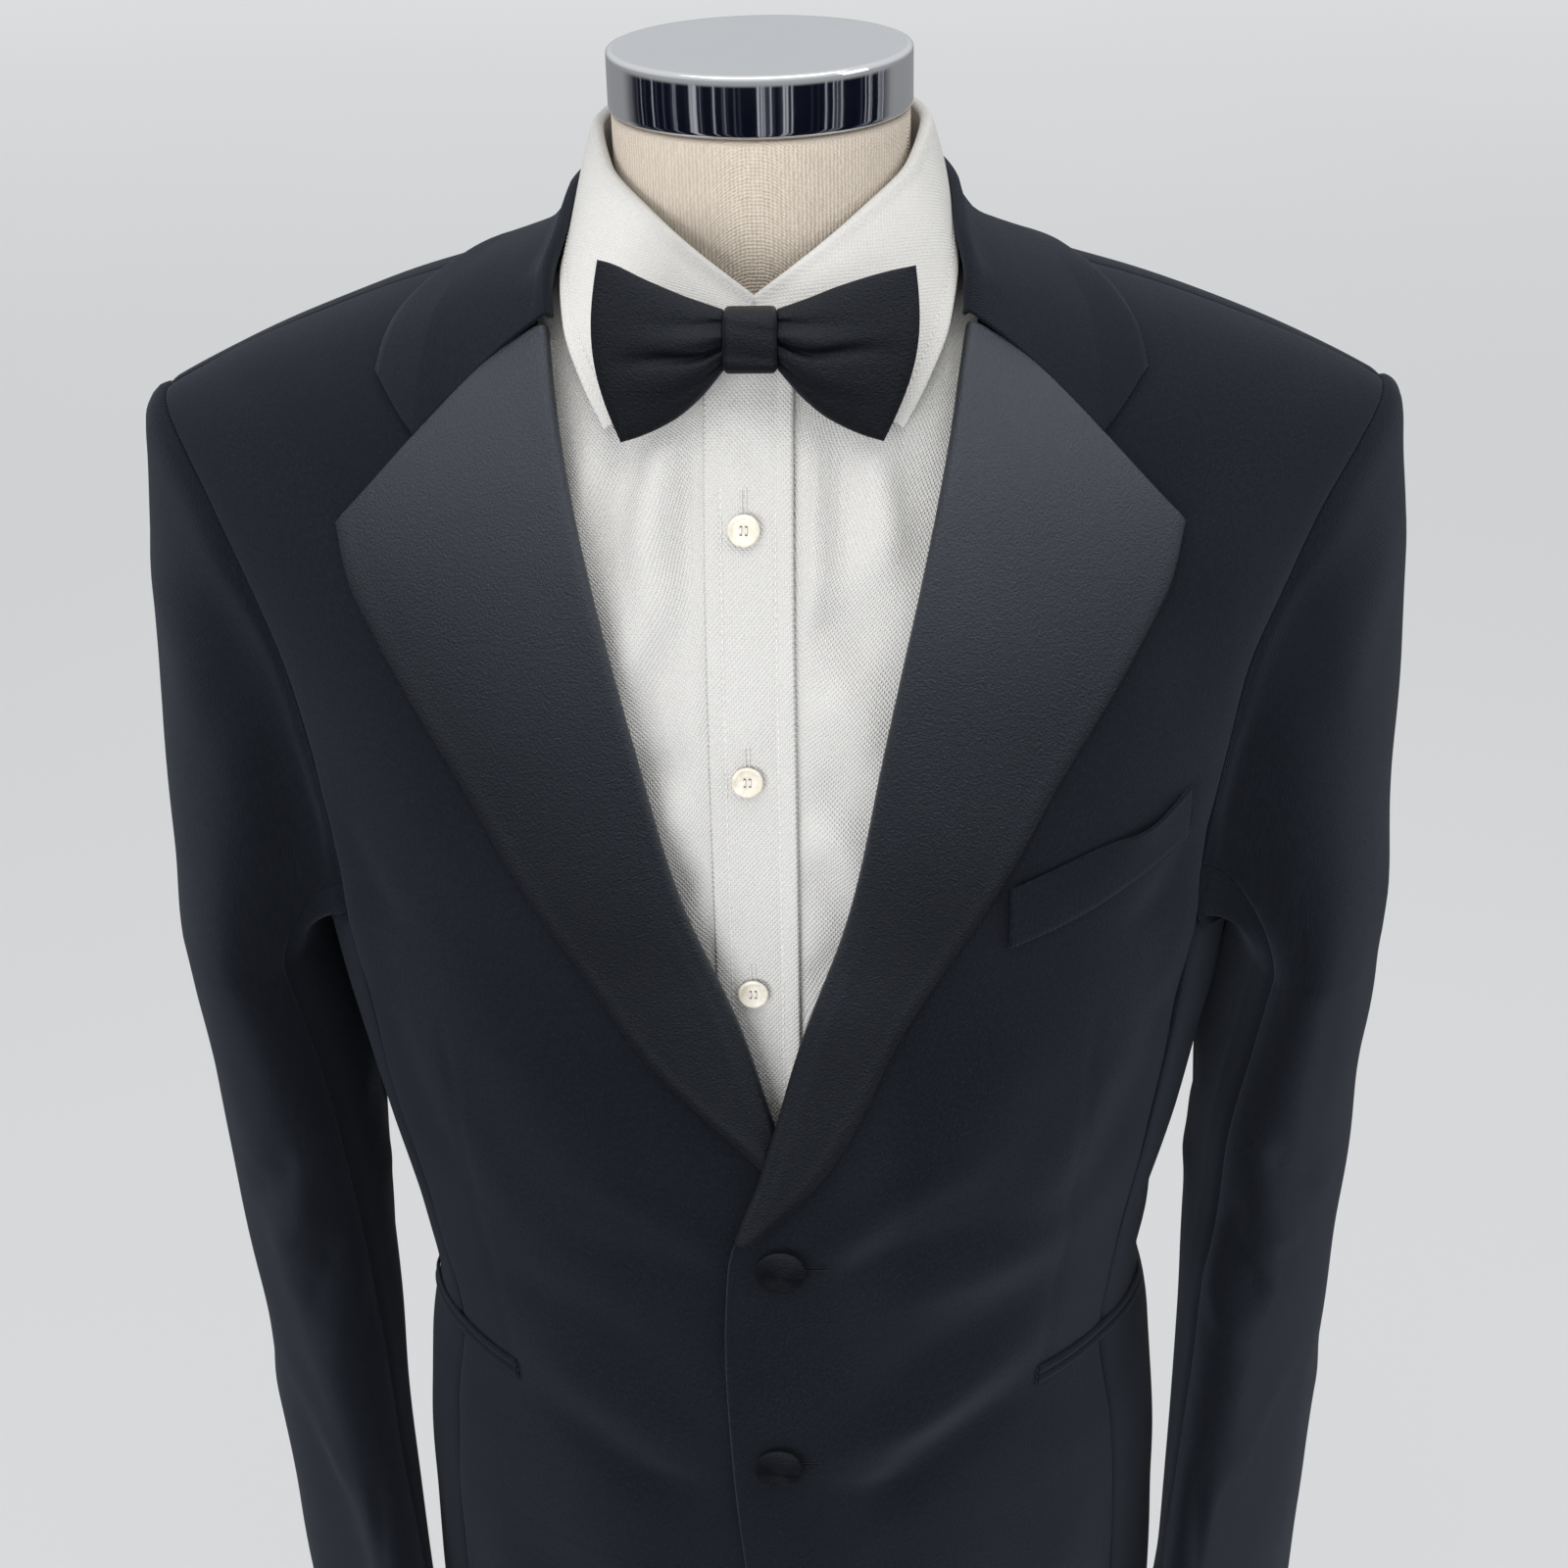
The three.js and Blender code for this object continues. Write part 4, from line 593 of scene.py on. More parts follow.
def panel(S, low, high, inner, outer, top, u, face):
    rows = []

    def row(z_of):
        def edge(f):
            x = f(-200.0)
            for _ in range(25):
                x = mix(x, f(z_of(x)), 0.6)
            return x

        a, b = float(edge(inner)), float(edge(outer))
        x = mix(a, b, u)
        z = z_of(x) * np.ones_like(x)
        p = S.point(x, np.minimum(z, S.ridge(x)), face)
        on = z > S.ridge(x) - 0.01
        p[on, 1] = S.mid + face * SEAM
        rows.append(p)

    for z in low:
        row(lambda x, z=z: z)
    for deg in high:
        row(lambda x, deg=deg: S.arm + rise(S, deg) * (top(x) - S.arm))
    return np.array(rows)


def side_line(z):
    return SIDE_SEAM * JACKET.half(z)


def front_outer(z):
    return float(np.where(z < -323, side_line(z), FRONT_ARMHOLE(z))) - SEAM


def back_outer(z):
    return float(np.where(z < -323, side_line(z), BACK_ARMHOLE(z))) - SEAM


def lift(x, z):
    """How far the left front stands off, where it lies on the right one."""
    return (1 - ease((x - 22) / 34)) * mix(2.7, 5.6, ease((z + 500) / 60) * (1 - ease((z + 330) / 60)))


def roll_inset(z):
    """Above the buttons the panel's edge hides under the rolled lapel."""
    return 3.4 * ease((z + 430) / 46)


U = np.concatenate([[0, 0.006, 0.014], np.linspace(0.03, 0.97, 58), [0.986, 0.994, 1]])
LOW = np.concatenate([np.array([-835, -834.2, -832.5, -830, -827, -823, -818]), np.arange(-812, -300, 4.2), [-300]])
HIGH = np.concatenate([np.linspace(1.5, 84, 54), [85.5, 87, 88.3, 89.3, 90]])


def left_inner(z):
    return LEFT_EDGE(z) + roll_inset(z)


def right_inner(z):
    z = np.asarray(z, float)
    low = mix(-2, -16, ease((z + 369) / -70))
    x = np.where(z > -369, LEFT_EDGE(z) - right_in(z) + roll_inset(z), low + roll_inset(z))
    return np.where(z < -613, LEFT_EDGE(z), x)


FOLDS_FRONT_LEFT = [
    (118, -498, 22, -560, 13, 2.3, -7), (112, -524, 20, -590, 12, -1.9, -5), (128, -470, 30, -520, 15, -1.7, -8),
    (135, -450, 26, -470, 12, 1.5, -6), (14, -436, 92, -398, 9, 1.5, 4), (14, -447, 100, -430, 8, -1.2, 3),
    (12, -545, 84, -520, 9, 1.2, 3), (12, -556, 70, -566, 8, -1.0, -2), (162, -332, 118, -452, 12, -1.8, 5),
    (150, -350, 96, -440, 14, 1.3, 4), (60, -600, 34, -760, 18, 1.6, -3), (96, -610, 86, -790, 17, -1.4, 3),
    (128, -590, 124, -800, 16, 1.5, -2), (168, -265, 138, -318, 9, -1.4, 3), (170, -300, 150, -360, 8, 1.0, 2),
    (140, -160, 166, -230, 14, -1.0, 3), (105, -330, 60, -420, 20, 1.1, 4),
]
FOLDS_FRONT_RIGHT = [
    (112, -506, 22, -552, 14, 1.9, -6), (108, -530, 26, -585, 12, -1.6, -5), (130, -468, 28, -505, 14, -1.4, -8),
    (10, -440, 86, -402, 9, 1.3, 4), (12, -450, 96, -438, 8, -1.1, 3), (18, -560, 80, -560, 9, -1.0, -2),
    (160, -334, 112, -446, 12, -1.9, 5), (148, -352, 92, -452, 14, 1.4, 4), (56, -604, 40, -770, 18, 1.3, -3),
    (92, -600, 82, -785, 17, -1.5, 3), (130, -585, 122, -810, 16, 1.3, -2), (167, -262, 136, -322, 9, -1.5, 3),
    (170, -298, 148, -366, 8, 1.1, 2), (100, -340, 58, -410, 20, 1.0, 4),
]
DART = Curve([(-520, 112), (-430, 121), (-330, 128)])


def front(side, sign):
    left = sign > 0
    P = panel(JACKET, LOW, HIGH, left_inner if left else right_inner, front_outer, JACKET.ridge, U, -1)
    n, _ = JACKET.outward(P)
    x, z = P[..., 0], P[..., 2]
    d = 1.45 * folds(x, z, FOLDS_FRONT_LEFT if left else FOLDS_FRONT_RIGHT) + ripple(x, z, 3 if left else 4, 70, 0.7)
    quiet = ease((x - left_inner(z)) / 30) * ease((-z - 78) / 50)
    d = d * np.where(z > -424, quiet, ease((x - LEFT_EDGE(z)) / 6))
    to_outer = np.linalg.norm(P - P[:, -1:], axis=-1)
    to_inner = np.abs(x - x[:, :1])
    to_top = np.linalg.norm(P - P[-1:], axis=-1)
    d -= 0.75 * near(to_outer, 1.8) + 0.25 * near(to_outer - 4, 2.5)
    d -= 0.65 * near(to_top, 1.8)
    d -= np.where((z < -330) & (z > -522), 0.55 * near(x - DART(z), 1.7) * ease((-z - 330) / 40), 0)
    d += np.where(z < -424, 0.35 * near(to_inner - 3.0, 3) - 0.25 * near(to_inner - 7.5, 1.6), 0)
    d -= 0.9 * near((z + 835) / 1.0, 2.0)
    base = lift(x, z) if left else 0
    out = P + n * (base + CLOTH + d)[..., None]
    inn = P + n * (base + np.minimum(d, 1.2) * 0.9)[..., None]
    if not left:
        out[..., 0] *= -1
        inn[..., 0] *= -1
    ob = shell("front_" + side, out, inn, WOOL)
    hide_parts("jacket_front_" + side)
    return ob


fronts = {side: front(side, sign) for side, sign in (("left", 1), ("right", -1))}

BACK_FOLDS = [
    (22, -470, 120, -500, 12, 1.5, -4), (18, -492, 128, -520, 12, -1.5, -4), (30, -515, 118, -548, 13, 1.2, -5),
    (150, -340, 96, -430, 14, -1.6, 5), (160, -300, 120, -420, 12, 1.4, 6), (60, -230, 30, -400, 22, 1.0, 4),
    (100, -140, 170, -220, 18, -1.1, 5), (70, -580, 60, -800, 18, 1.5, 3), (110, -590, 106, -815, 16, -1.3, -3),
    (36, -560, 30, -790, 16, -1.2, 2), (140, -170, 150, -280, 14, 1.0, 4), (20, -100, 70, -120, 14, -0.8, 2),
]
BACK_LOW = np.concatenate([np.array([-835, -834, -832, -829, -825]), np.arange(-820, -300, 4.6), [-300]])
BACK_U = np.concatenate([[0, 0.006, 0.014, 0.024], np.linspace(0.04, 0.97, 44), [0.986, 0.994, 1]])


def back_top(x):
    return np.minimum(JACKET.ridge(x), np.where(np.abs(x) < 84, BACK_NECK(np.abs(x)), 0))


for side, sign in (("left", 1), ("right", -1)):
    P = panel(JACKET, BACK_LOW, HIGH, lambda z: SEAM, back_outer, back_top, BACK_U, 1)
    n, _ = JACKET.outward(P)
    x, z = P[..., 0], P[..., 2]
    shape = BACK_FOLDS if sign > 0 else [(a + 4, b - 8, c - 6, e + 5, w * 1.1, h * 0.9, k * 1.2) for a, b, c, e, w, h, k in BACK_FOLDS]
    d = folds(x, z, shape) + ripple(x, z, 7 if sign > 0 else 8, 80, 0.5)
    d *= ease(x / 8) * ease(np.linalg.norm(P - P[-1:], axis=-1) / 20)
    to_outer = np.linalg.norm(P - P[:, -1:], axis=-1)
    to_top = np.linalg.norm(P - P[-1:], axis=-1)
    d -= 0.75 * near(to_outer, 1.8) + 0.75 * near(x, 1.8) + 0.65 * near(to_top, 1.8)
    d -= 0.9 * near(z + 835, 2.0)
    out = P + n * (CLOTH + d)[..., None]
    inn = P + n * (np.minimum(d, 1.2) * 0.9)[..., None]
    out[..., 0] *= sign
    inn[..., 0] *= sign
    ob = shell("back_" + side, out, inn, WOOL)
    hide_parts("jacket_back_" + side)

SEAM_ANGLE = math.acos(SIDE_SEAM ** (JACKET.n / 2))
ARMPIT = -337


def side_top(a):
    return ARMPIT + 13 * (np.abs(a) / SEAM_ANGLE) ** 2


for side, sign in (("left", 1), ("right", -1)):
    s = np.concatenate([[1, 0.985, 0.96], np.linspace(0.92, -0.92, 34), [-0.96, -0.985, -1]])
    v = np.concatenate([[0, 0.002, 0.005, 0.009], np.linspace(0.014, 0.985, 110), [0.992, 0.997, 1]])
    a = s * SEAM_ANGLE
    z = mix(-835.0, side_top(a)[None, :] - SEAM, v[:, None])
    lim = np.arccos(np.clip(SIDE_SEAM + SEAM / JACKET.half(z), 0, 1) ** (JACKET.n / 2))
    P = JACKET.ring(z, np.clip(np.broadcast_to(a, z.shape), -lim, lim))
    n, _ = JACKET.outward(P)
    y = P[..., 1]
    d = folds(y, z, [
        (-70, -480, 60, -500, 12, -1.6, 5), (-60, -505, 70, -528, 12, 1.4, 5), (-72, -545, 66, -556, 11, -1.2, -4),
        (-50, -360, 30, -450, 14, 1.4, 6), (10, -350, 50, -440, 13, -1.4, 4), (-30, -600, -20, -800, 17, 1.4, 3),
        (30, -590, 40, -810, 17, -1.3, -3),
    ]) + ripple(y, z, 11 if sign > 0 else 12, 70, 0.4)
    edge = np.minimum(np.linalg.norm(P - P[:, -1:], axis=-1), np.linalg.norm(P - P[:, :1], axis=-1))
    d = d * ease(edge / 14) - 0.75 * near(edge, 1.8) - 0.9 * near(z + 835, 2.0) - 0.6 * near(P[-1:, :, 2] - z, 2.5)
    out = P + n * (CLOTH + d)[..., None]
    inn = P + n * (np.minimum(d, 1.2) * 0.9)[..., None]
    out[..., 0] *= sign
    inn[..., 0] *= sign
    ob = shell("side_" + side, out, inn, WOOL)
    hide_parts("jacket_side_" + side)


# ---------------------------------------------------------------- sleeves
def armhole_half(face):
    table = FRONT_ARMHOLE if face < 0 else BACK_ARMHOLE
    pts = []
    for k in range(49):
        z = mix(-131, -323, (k / 48) ** 1.5)
        x = float(table(z))
        top = float(JACKET.ridge(x))
        pts.append(np.array([x, JACKET.mid, top]) if k == 0 else JACKET.point(x, min(z, top - 0.02), face))
    for k in range(1, 13):
        a = SEAM_ANGLE * (1 - k / 12) * (1 if face < 0 else -1)
        pts.append(JACKET.ring(side_top(a), a))
    pts = np.array(pts)
    run = np.concatenate([[0], np.cumsum(np.linalg.norm(np.diff(pts, axis=0), axis=-1))])
    n, _ = JACKET.outward(pts)
    pts = pts + n * CLOTH
    return run / run[-1], pts, n


ARMHOLES = {-1: armhole_half(-1), 1: armhole_half(1)}


def armhole(a):
    """Point and normal of the armhole at sleeve angle a in degrees."""
    a = (np.asarray(a, float) + 180) % 360 - 180
    share = np.abs(a) / 180
    p, n = np.zeros(a.shape + (3,)), np.zeros(a.shape + (3,))
    for face, mask in ((-1, a >= 0), (1, a < 0)):
        s, pts, nn = ARMHOLES[face]
        for c in range(3):
            p[..., c] = np.where(mask, np.interp(share, s, pts[:, c]), p[..., c])
            n[..., c] = np.where(mask, np.interp(share, s, nn[:, c]), n[..., c])
    return p, unit(n), share


def sleeve_ring(z, a):
    cx, cy, lo, sh, tu, de = (c(z) for c in SLEEVE_C)
    a = (np.asarray(a, float) + 180) % 360 - 180
    r, turn = np.radians(a), np.radians(tu)
    dent = de * np.exp(-(((a - 42) / 26) ** 2))
    u, v = (sh - dent) * np.cos(r), -lo * np.sin(r)
    return np.stack([cx + u * np.cos(turn) + v * np.sin(turn), cy + v * np.cos(turn) - u * np.sin(turn), z + 0 * u], -1)


def sleeve_point(a, row):
    a, row = np.broadcast_arrays(np.asarray(a, float), np.asarray(row, float))
    seam, n, share = armhole(a)
    end = sleeve_ring(np.full(a.shape, -352.0), a)
    drop = np.linalg.norm(seam - end, axis=-1)
    out = unit(np.array([1.0, 0, 0]) - n * n[..., :1])
    out = out + n * (0.25 + 0.1 * np.cos(2 * np.radians(a)))[..., None]
    w = np.clip(row, 0, 1)[..., None]
    w2, w3 = w * w, w * w * w
    k0, k1 = mix(46, 26, share)[..., None], np.clip(drop * 1.1, 22, 260)[..., None]
    p0 = seam + (0.9, 0, 0)
    head = p0 * (2 * w3 - 3 * w2 + 1) + out * k0 * (w3 - 2 * w2 + w) + end * (3 * w2 - 2 * w3) + np.array([0, 0, -1.0]) * k1 * (w3 - w2)
    low_down = (row > 0.05) & (head[..., 2] < ARMPIT + 25)
    head = np.where(low_down[..., None], JACKET.clear(head, 3.2), head)
    z = mix(-352.0, -771.0, np.clip(row - 1, 0, 1))
    arm = JACKET.clear(sleeve_ring(z, a), 3.2)
    arm[..., 2] = z - 0.045 * (arm[..., 1] - 10) * ease((row - 1.6) / 0.4)
    return np.where((row <= 1)[..., None], head, arm)


def sleeve_normal(a, row):
    r0, r1 = np.clip(row - 0.01, 0.0005, 2), np.clip(row + 0.01, 0.01, 2)
    u = sleeve_point(a, r1) - sleeve_point(a, r0)
    v = sleeve_point(a + 1.5, row) - sleeve_point(a - 1.5, row)
    n = unit(np.cross(u, v))
    ra = np.radians(a)
    want = np.stack([np.cos(ra), -np.sin(ra), 0.2 + 0 * ra], -1)
    return n * np.where((n * want).sum(-1, keepdims=True) < 0, -1, 1)


# folds on the sleeve by angle (degrees) and distance from the armhole seam line (millimetres of height)
SLEEVE_FOLDS = [
    (40, -170, 95, -262, 11, -1.8, 5), (10, -175, 60, -250, 12, 1.3, 5), (78, -230, 116, -300, 9, -1.6, 3),
    (96, -430, 30, -470, 9, -2.0, 4), (102, -452, 44, -498, 9, 1.6, 4), (110, -478, 60, -520, 8, -1.7, 3),
    (120, -500, 70, -548, 9, 1.2, 3), (20, -560, 60, -640, 13, 1.5, 6), (-20, -420, -80, -470, 12, -1.2, 5),
    (-10, -600, -60, -680, 14, 1.1, -5), (96, -600, 60, -690, 10, -1.3, 4), (-120, -430, -160, -520, 10, 1.2, 3),
    (-30, -180, -80, -270, 14, -1.2, 5), (-60, -300, -100, -400, 13, 1.2, 5), (24, -300, 10, -420, 13, 0.9, 3),
    (150, -430, 200, -470, 9, -1.6, 3), (150, -470, 196, -510, 9, 1.4, 3),
]
FRONT_SEAM_A, BACK_SEAM_A = 118.0, 262.0
ROWS_S = np.concatenate([[0, 0.008, 0.02, 0.04], np.linspace(0.065, 1.0, 44), np.linspace(1.014, 1.975, 84), [1.985, 1.992, 1.997, 2.0]])


def sleeve(side, sign, piece, a0, a1, cols):
    e = np.array([0, 0.006, 0.016])
    t = np.concatenate([e, np.linspace(0.035, 0.965, cols), 1 - e[::-1]])
    a = mix(a0, a1, t)[None, :] * np.ones((len(ROWS_S), 1))
    row = ROWS_S[:, None] * np.ones((1, len(t)))
    P, n = sleeve_point(a, row), sleeve_normal(a, row)
    aw = (a + 180) % 360 - 180
    z = P[..., 2]
    d = folds(aw * 1.0, z, SLEEVE_FOLDS) if sign > 0 else folds(aw * 1.0 + 3, z + 9, [(q[0], q[1], q[2], q[3], q[4] * 1.08, q[5] * 0.92, q[6] * 1.3) for q in SLEEVE_FOLDS])
    d *= 1.0 + 0.9 * ease((np.cos(np.radians(aw - 50)) + 0.3) / 0.8)
    d += ripple(aw * 1.2, z, 21 + (sign > 0), 75, 0.8)
    d *= ease(row / 0.18) * ease((2.0 - row) / 0.08)
    # fullness of the sleeve head over the shoulder
    d += 1.7 * near((row - 0.13) / 0.09, 1) * ease((np.cos(np.radians(aw)) + 0.2) / 0.9)
    edge = np.minimum(np.linalg.norm(P - P[:, -1:], axis=-1), np.linalg.norm(P - P[:, :1], axis=-1))
    d -= 0.8 * near(edge, 1.8)
    from_seam = np.linalg.norm(P - P[:1], axis=-1)
    d -= 1.3 * near(from_seam, 2.2)
    out = P + n * d[..., None]
    inn = P + n * (np.minimum(d, 1.0) * 0.9 - CLOTH)[..., None]
    out[..., 0] *= sign
    inn[..., 0] *= sign
    ob = shell(f"sleeve_{piece}_{side}", out, inn, WOOL)
    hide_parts(f"jacket_sleeve_{piece}_{side}")
    return ob


for side, sign, front_seam in (("left", 1, FRONT_SEAM_A), ("right", -1, FRONT_SEAM_A + 5)):
    sleeve(side, sign, "top", BACK_SEAM_A - 360 + 0.18, front_seam - 0.18, 66)
    sleeve(side, sign, "under", front_seam + 0.18, BACK_SEAM_A - 0.18, 44)


# ---------------------------------------------------------------- lapels
LAPEL_LOW = 2.9
LAPEL_V = np.concatenate([[0, 0.004, 0.01], np.linspace(0.02, 0.97, 84), [0.982, 0.99, 0.996, 1]])
LAPEL_Z = Curve([(0, -425), (0.12, -382), (0.3, -322), (0.5, -260), (0.66, -215), (0.8, -184), (0.92, -162), (1, -152.3)])


def lapel(side, sign):
    left = sign > 0
    v = LAPEL_V if left else LAPEL_V[LAPEL_V > 0.076]
    rows_out, rows_in = [], []
    s = np.concatenate([np.linspace(0, 0.96, 34), [0.975, 0.988, 1.0]])
    phi = np.radians(np.linspace(178, 8, 12))
    for k in v:
        z = float(LAPEL_Z(k))
        g = float(ease((z + 300) / 147))
        zin = mix(z, GORGE["in_z"], g**1.6) - 0.5 * g
        shy = 0.0 if left else float(right_in(z))
        a = mix(float(LEFT_EDGE(z)) - shy - 0.6, float(LEFT_EDGE(zin)) - 1.0, g) + 2.2
        b = float(LAPEL_EDGE(z)) - (0.0 if left else 21 * float(ease((-332 - z) / 62)))
        x = mix(a, b, s)
        zz = mix(zin, z, s) + GORGE["bow"] * np.sin(np.pi * s**0.8) * g**3
        P = JACKET.point(x, zz, -1)
        n, _ = JACKET.outward(P)
        run = np.concatenate([[0], np.cumsum(np.linalg.norm(np.diff(P, axis=0), axis=-1))])
        low = ease((-z - 210) / 150)
        belly = (0.1 + 1.3 * low) * near(run - 14, 16 + 8 * low) + 0.6 * near(run - 36, 24) * low
        belly = belly * ease(run / 5) * (1 - 0.75 * ease((-z - 396) / 26))
        base = (lift(P[:, 0], P[:, 2]) if left else 0) + LAPEL_LOW - 0.9 * float(ease((k - 0.94) / 0.06)) * near(run, 14)
        d = belly + ripple(x, zz, 31 if left else 32, 90, 0.35) * ease(run / 12)
        d = d - 0.35 * near(run[-1] - run, 1.6) + 0.28 * near(run[-1] - run - 4.5, 2.6)
        top = P + n * (base + SATIN + d)[:, None]
        under = P + n * (base + 0.85 * d)[:, None]
        # roll at the inner edge: round from the inside to the face of the lapel
        lift0 = float(base[0]) - LAPEL_LOW
        centre = P[0] + n[0] * (lift0 + (LAPEL_LOW + SATIN - 1.4) / 2)
        radius = (LAPEL_LOW + SATIN + 1.4) / 2 * (1 - 0.42 * float(ease((k - 0.93) / 0.07)))
        centre = centre + n[0] * ((LAPEL_LOW + SATIN + 1.4) / 2 - radius)
        along = unit(P[1] - P[0])
        roll_o = centre - along * (radius * np.sin(phi))[:, None] + n[0] * (radius * np.cos(phi))[:, None]
        roll_i = centre - along * ((radius - SATIN) * np.sin(phi))[:, None] + n[0] * ((radius - SATIN) * np.cos(phi))[:, None]
        tail = centre - n[0] * radius + along * np.array([9.0, 5.0, 2.0])[:, None]
        tail_i = centre - n[0] * (radius - SATIN) + along * np.array([9.0, 5.0, 2.0])[:, None]
        rows_out.append(np.concatenate([tail, roll_o, top[1:]]))
        rows_in.append(np.concatenate([tail_i, roll_i, under[1:]]))
    out, inn = np.array(rows_out), np.array(rows_in)
    out[..., 0] *= sign
    inn[..., 0] *= sign
    ob = shell("lapel_" + side, out, inn, LAPEL_SATIN)
    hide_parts("jacket_lapel_" + side)
    return ob


lapels = {side: lapel(side, sign) for side, sign in (("left", 1), ("right", -1))}

# ---------------------------------------------------------------- jacket collar
NECK_SPLIT = 0.44


def neck_seam(t):
    if t < NECK_SPLIT:
        z = mix(-86, -72.8, t / NECK_SPLIT)
        p = JACKET.point(float(LEFT_EDGE(z)), z, -1)
    else:
        x = mix(84, 0, (t - NECK_SPLIT) / (1 - NECK_SPLIT))
        p = JACKET.point(x, min(float(BACK_NECK(x)), float(JACKET.ridge(x)) - 0.01), 1)
    r = math.hypot(p[0], p[1] - 5)
    return np.array([p[0] * (1 - 1.9 / r), 5 + (p[1] - 5) * (1 - 1.9 / r), p[2] + 1.2])


def collar_line(t):
    fold = np.array([float(c(t)) for c in COLLAR_C[:3]])
    edge = np.array([float(c(t)) for c in COLLAR_C[3:]])
    foot = neck_seam(t)
    out = edge - foot
    out[2] = 0
    out = unit(out)
    line = [mix(foot, fold, s) for s in (0, 0.2, 0.4, 0.6, 0.78, 0.9, 0.97)]
    crest = fold + out * 1.2 + np.array([0, 0, 1.6 * float(ease(t / 0.2))])
    line.append(mix(fold, crest, 0.6) + np.array([0, 0, 0.3]))
    line.append(crest)
    # along the gorge seam at the collar's end, and the leaf's fall elsewhere
    gs = np.linspace(0.1, 1, 9)
    gorge = [(x, float(gorge_z(x))) for x in mix(GORGE["in_x"], GORGE["notch_x"], gs)]
    notch_z = float(gorge_z(GORGE["notch_x"]))
    gorge += [(mix(GORGE["notch_x"], COLLAR_END[0], s), mix(notch_z, COLLAR_END[1], s)) for s in (0.3, 0.6, 0.88, 1.0)]
    end = np.array([JACKET.point(x, z + 0.55, -1) for x, z in gorge])
    ls = np.concatenate([np.linspace(0.08, 0.72, 9), [0.8, 0.88, 0.96, 1.0]])
    fall = np.array([mix(fold, edge, s) for s in ls])
    fall[:, 2] -= 7 * np.sin(np.pi * ls**0.8) * float(ease(t / 0.3)) * (1 - 0.6 * float(ease((t - 0.5) / 0.3)))
    k = float(ease(t / 0.105)) if t < 0.12 else 1.0
    line += list(mix(end, fall, k) if t > 0 else end)
    line = np.array(line)
    need = np.concatenate([np.full(9, -99.0), np.linspace(4.4, LAPEL_LOW, 5), np.full(8, LAPEL_LOW)])
    n, d = JACKET.outward(line)
    fixed = JACKET.clear(line[9:], need[9:])
    return np.concatenate([line[:9], fixed])


TS = np.concatenate([[0, 0.006, 0.016], np.linspace(0.03, 1, 60)])
half = np.array([collar_line(float(t)) for t in TS])
# the leaf rolls smoothly, so its free points are eased along the collar
for _ in range(3):
    half[1:-1, 9:] = 0.25 * half[:-2, 9:] + 0.5 * half[1:-1, 9:] + 0.25 * half[2:, 9:]
half[1:, 9:] = JACKET.clear(half[1:, 9:], LAPEL_LOW)
other = half[:-1][::-1] * (-1, 1, 1)
C = np.concatenate([half, other])
nc = grid_normals(C)
if nc[len(half) - 1, 14, 1] < 0:
    nc = -nc
seam_len = np.concatenate([[0], np.cumsum(np.linalg.norm(np.diff(C[:, 14], axis=0), axis=-1))])
bias = ripple(seam_len[:, None] + 0 * C[..., 0], np.arange(C.shape[1])[None, :] * 6.0, 41, 70, 0.3) * ease((np.arange(C.shape[1]) - 9) / 4)[None, :]
tocol = np.linalg.norm(C - C[:, -1:], axis=-1)
bias = bias - 0.30 * near(tocol, 1.4) + 0.08 * near(tocol - 4.5, 2.4)
collar_out = C + nc * (SATIN + bias)[..., None]
collar_ob = shell("collar", collar_out, C + nc * (0.8 * np.minimum(bias, 1))[..., None], WOOL)
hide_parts("jacket_collar")

# ---------------------------------------------------------------- pockets
WELT = [(0, 92, -277, -302), (0.35, 113, -270.5, -296), (0.7, 136, -263, -287), (1, 158, -253, -276)]
WX, WT, WL = (Curve([(r[0], r[k]) for r in WELT]) for k in (1, 2, 3))


def on_front(x, z, off):
    P = JACKET.point(x, z, -1)
    n, _ = JACKET.outward(P)
    return P + n * np.asarray(off)[..., None]


s = np.concatenate([[0, 0.01, 0.025], np.linspace(0.05, 0.95, 34), [0.975, 0.99, 1]])[None, :]
k = np.concatenate([[0, 0.03, 0.08], np.linspace(0.14, 0.9, 10), [0.95, 0.98, 1]])[:, None]
wx, wz = WX(s) + 0 * k, mix(WL(s), WT(s), k)
wz = wz - 3.2 * near((s - 0.8) / 0.16, 1) * k * k  # the mouth sags a little open at its outer end
gape = 2.6 * near((s - 0.78) / 0.2, 1) * k * k
woff = lift(wx, wz) + CLOTH + 0.9 + gape + 0.5 * near((k - 0.55) / 0.5, 1) - 0.5 * near((k - 0.0) / 0.05, 1)
w_out, w_in = on_front(wx, wz, woff + 1.5), on_front(wx, wz, woff)
welt = shell("chest_welt_cloth", w_out, w_in, WOOL)
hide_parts("chest_welt")
for name, ss in (("welt_stitches_inner", 0.035), ("welt_stitches_outer", 0.965)):
    kk = np.linspace(0.05, 0.95, 24)
    sx, sz = WX(np.full(24, ss)), mix(WL(np.full(24, ss)), WT(np.full(24, ss)), kk)
    p = on_front(sx, sz, lift(sx, sz) + CLOTH + 0.9 + 1.62)
    n, _ = JACKET.outward(p)
    ob = thread_run(name, p, n, 2.4, 0.8, 0.42, BLACK_THREAD)

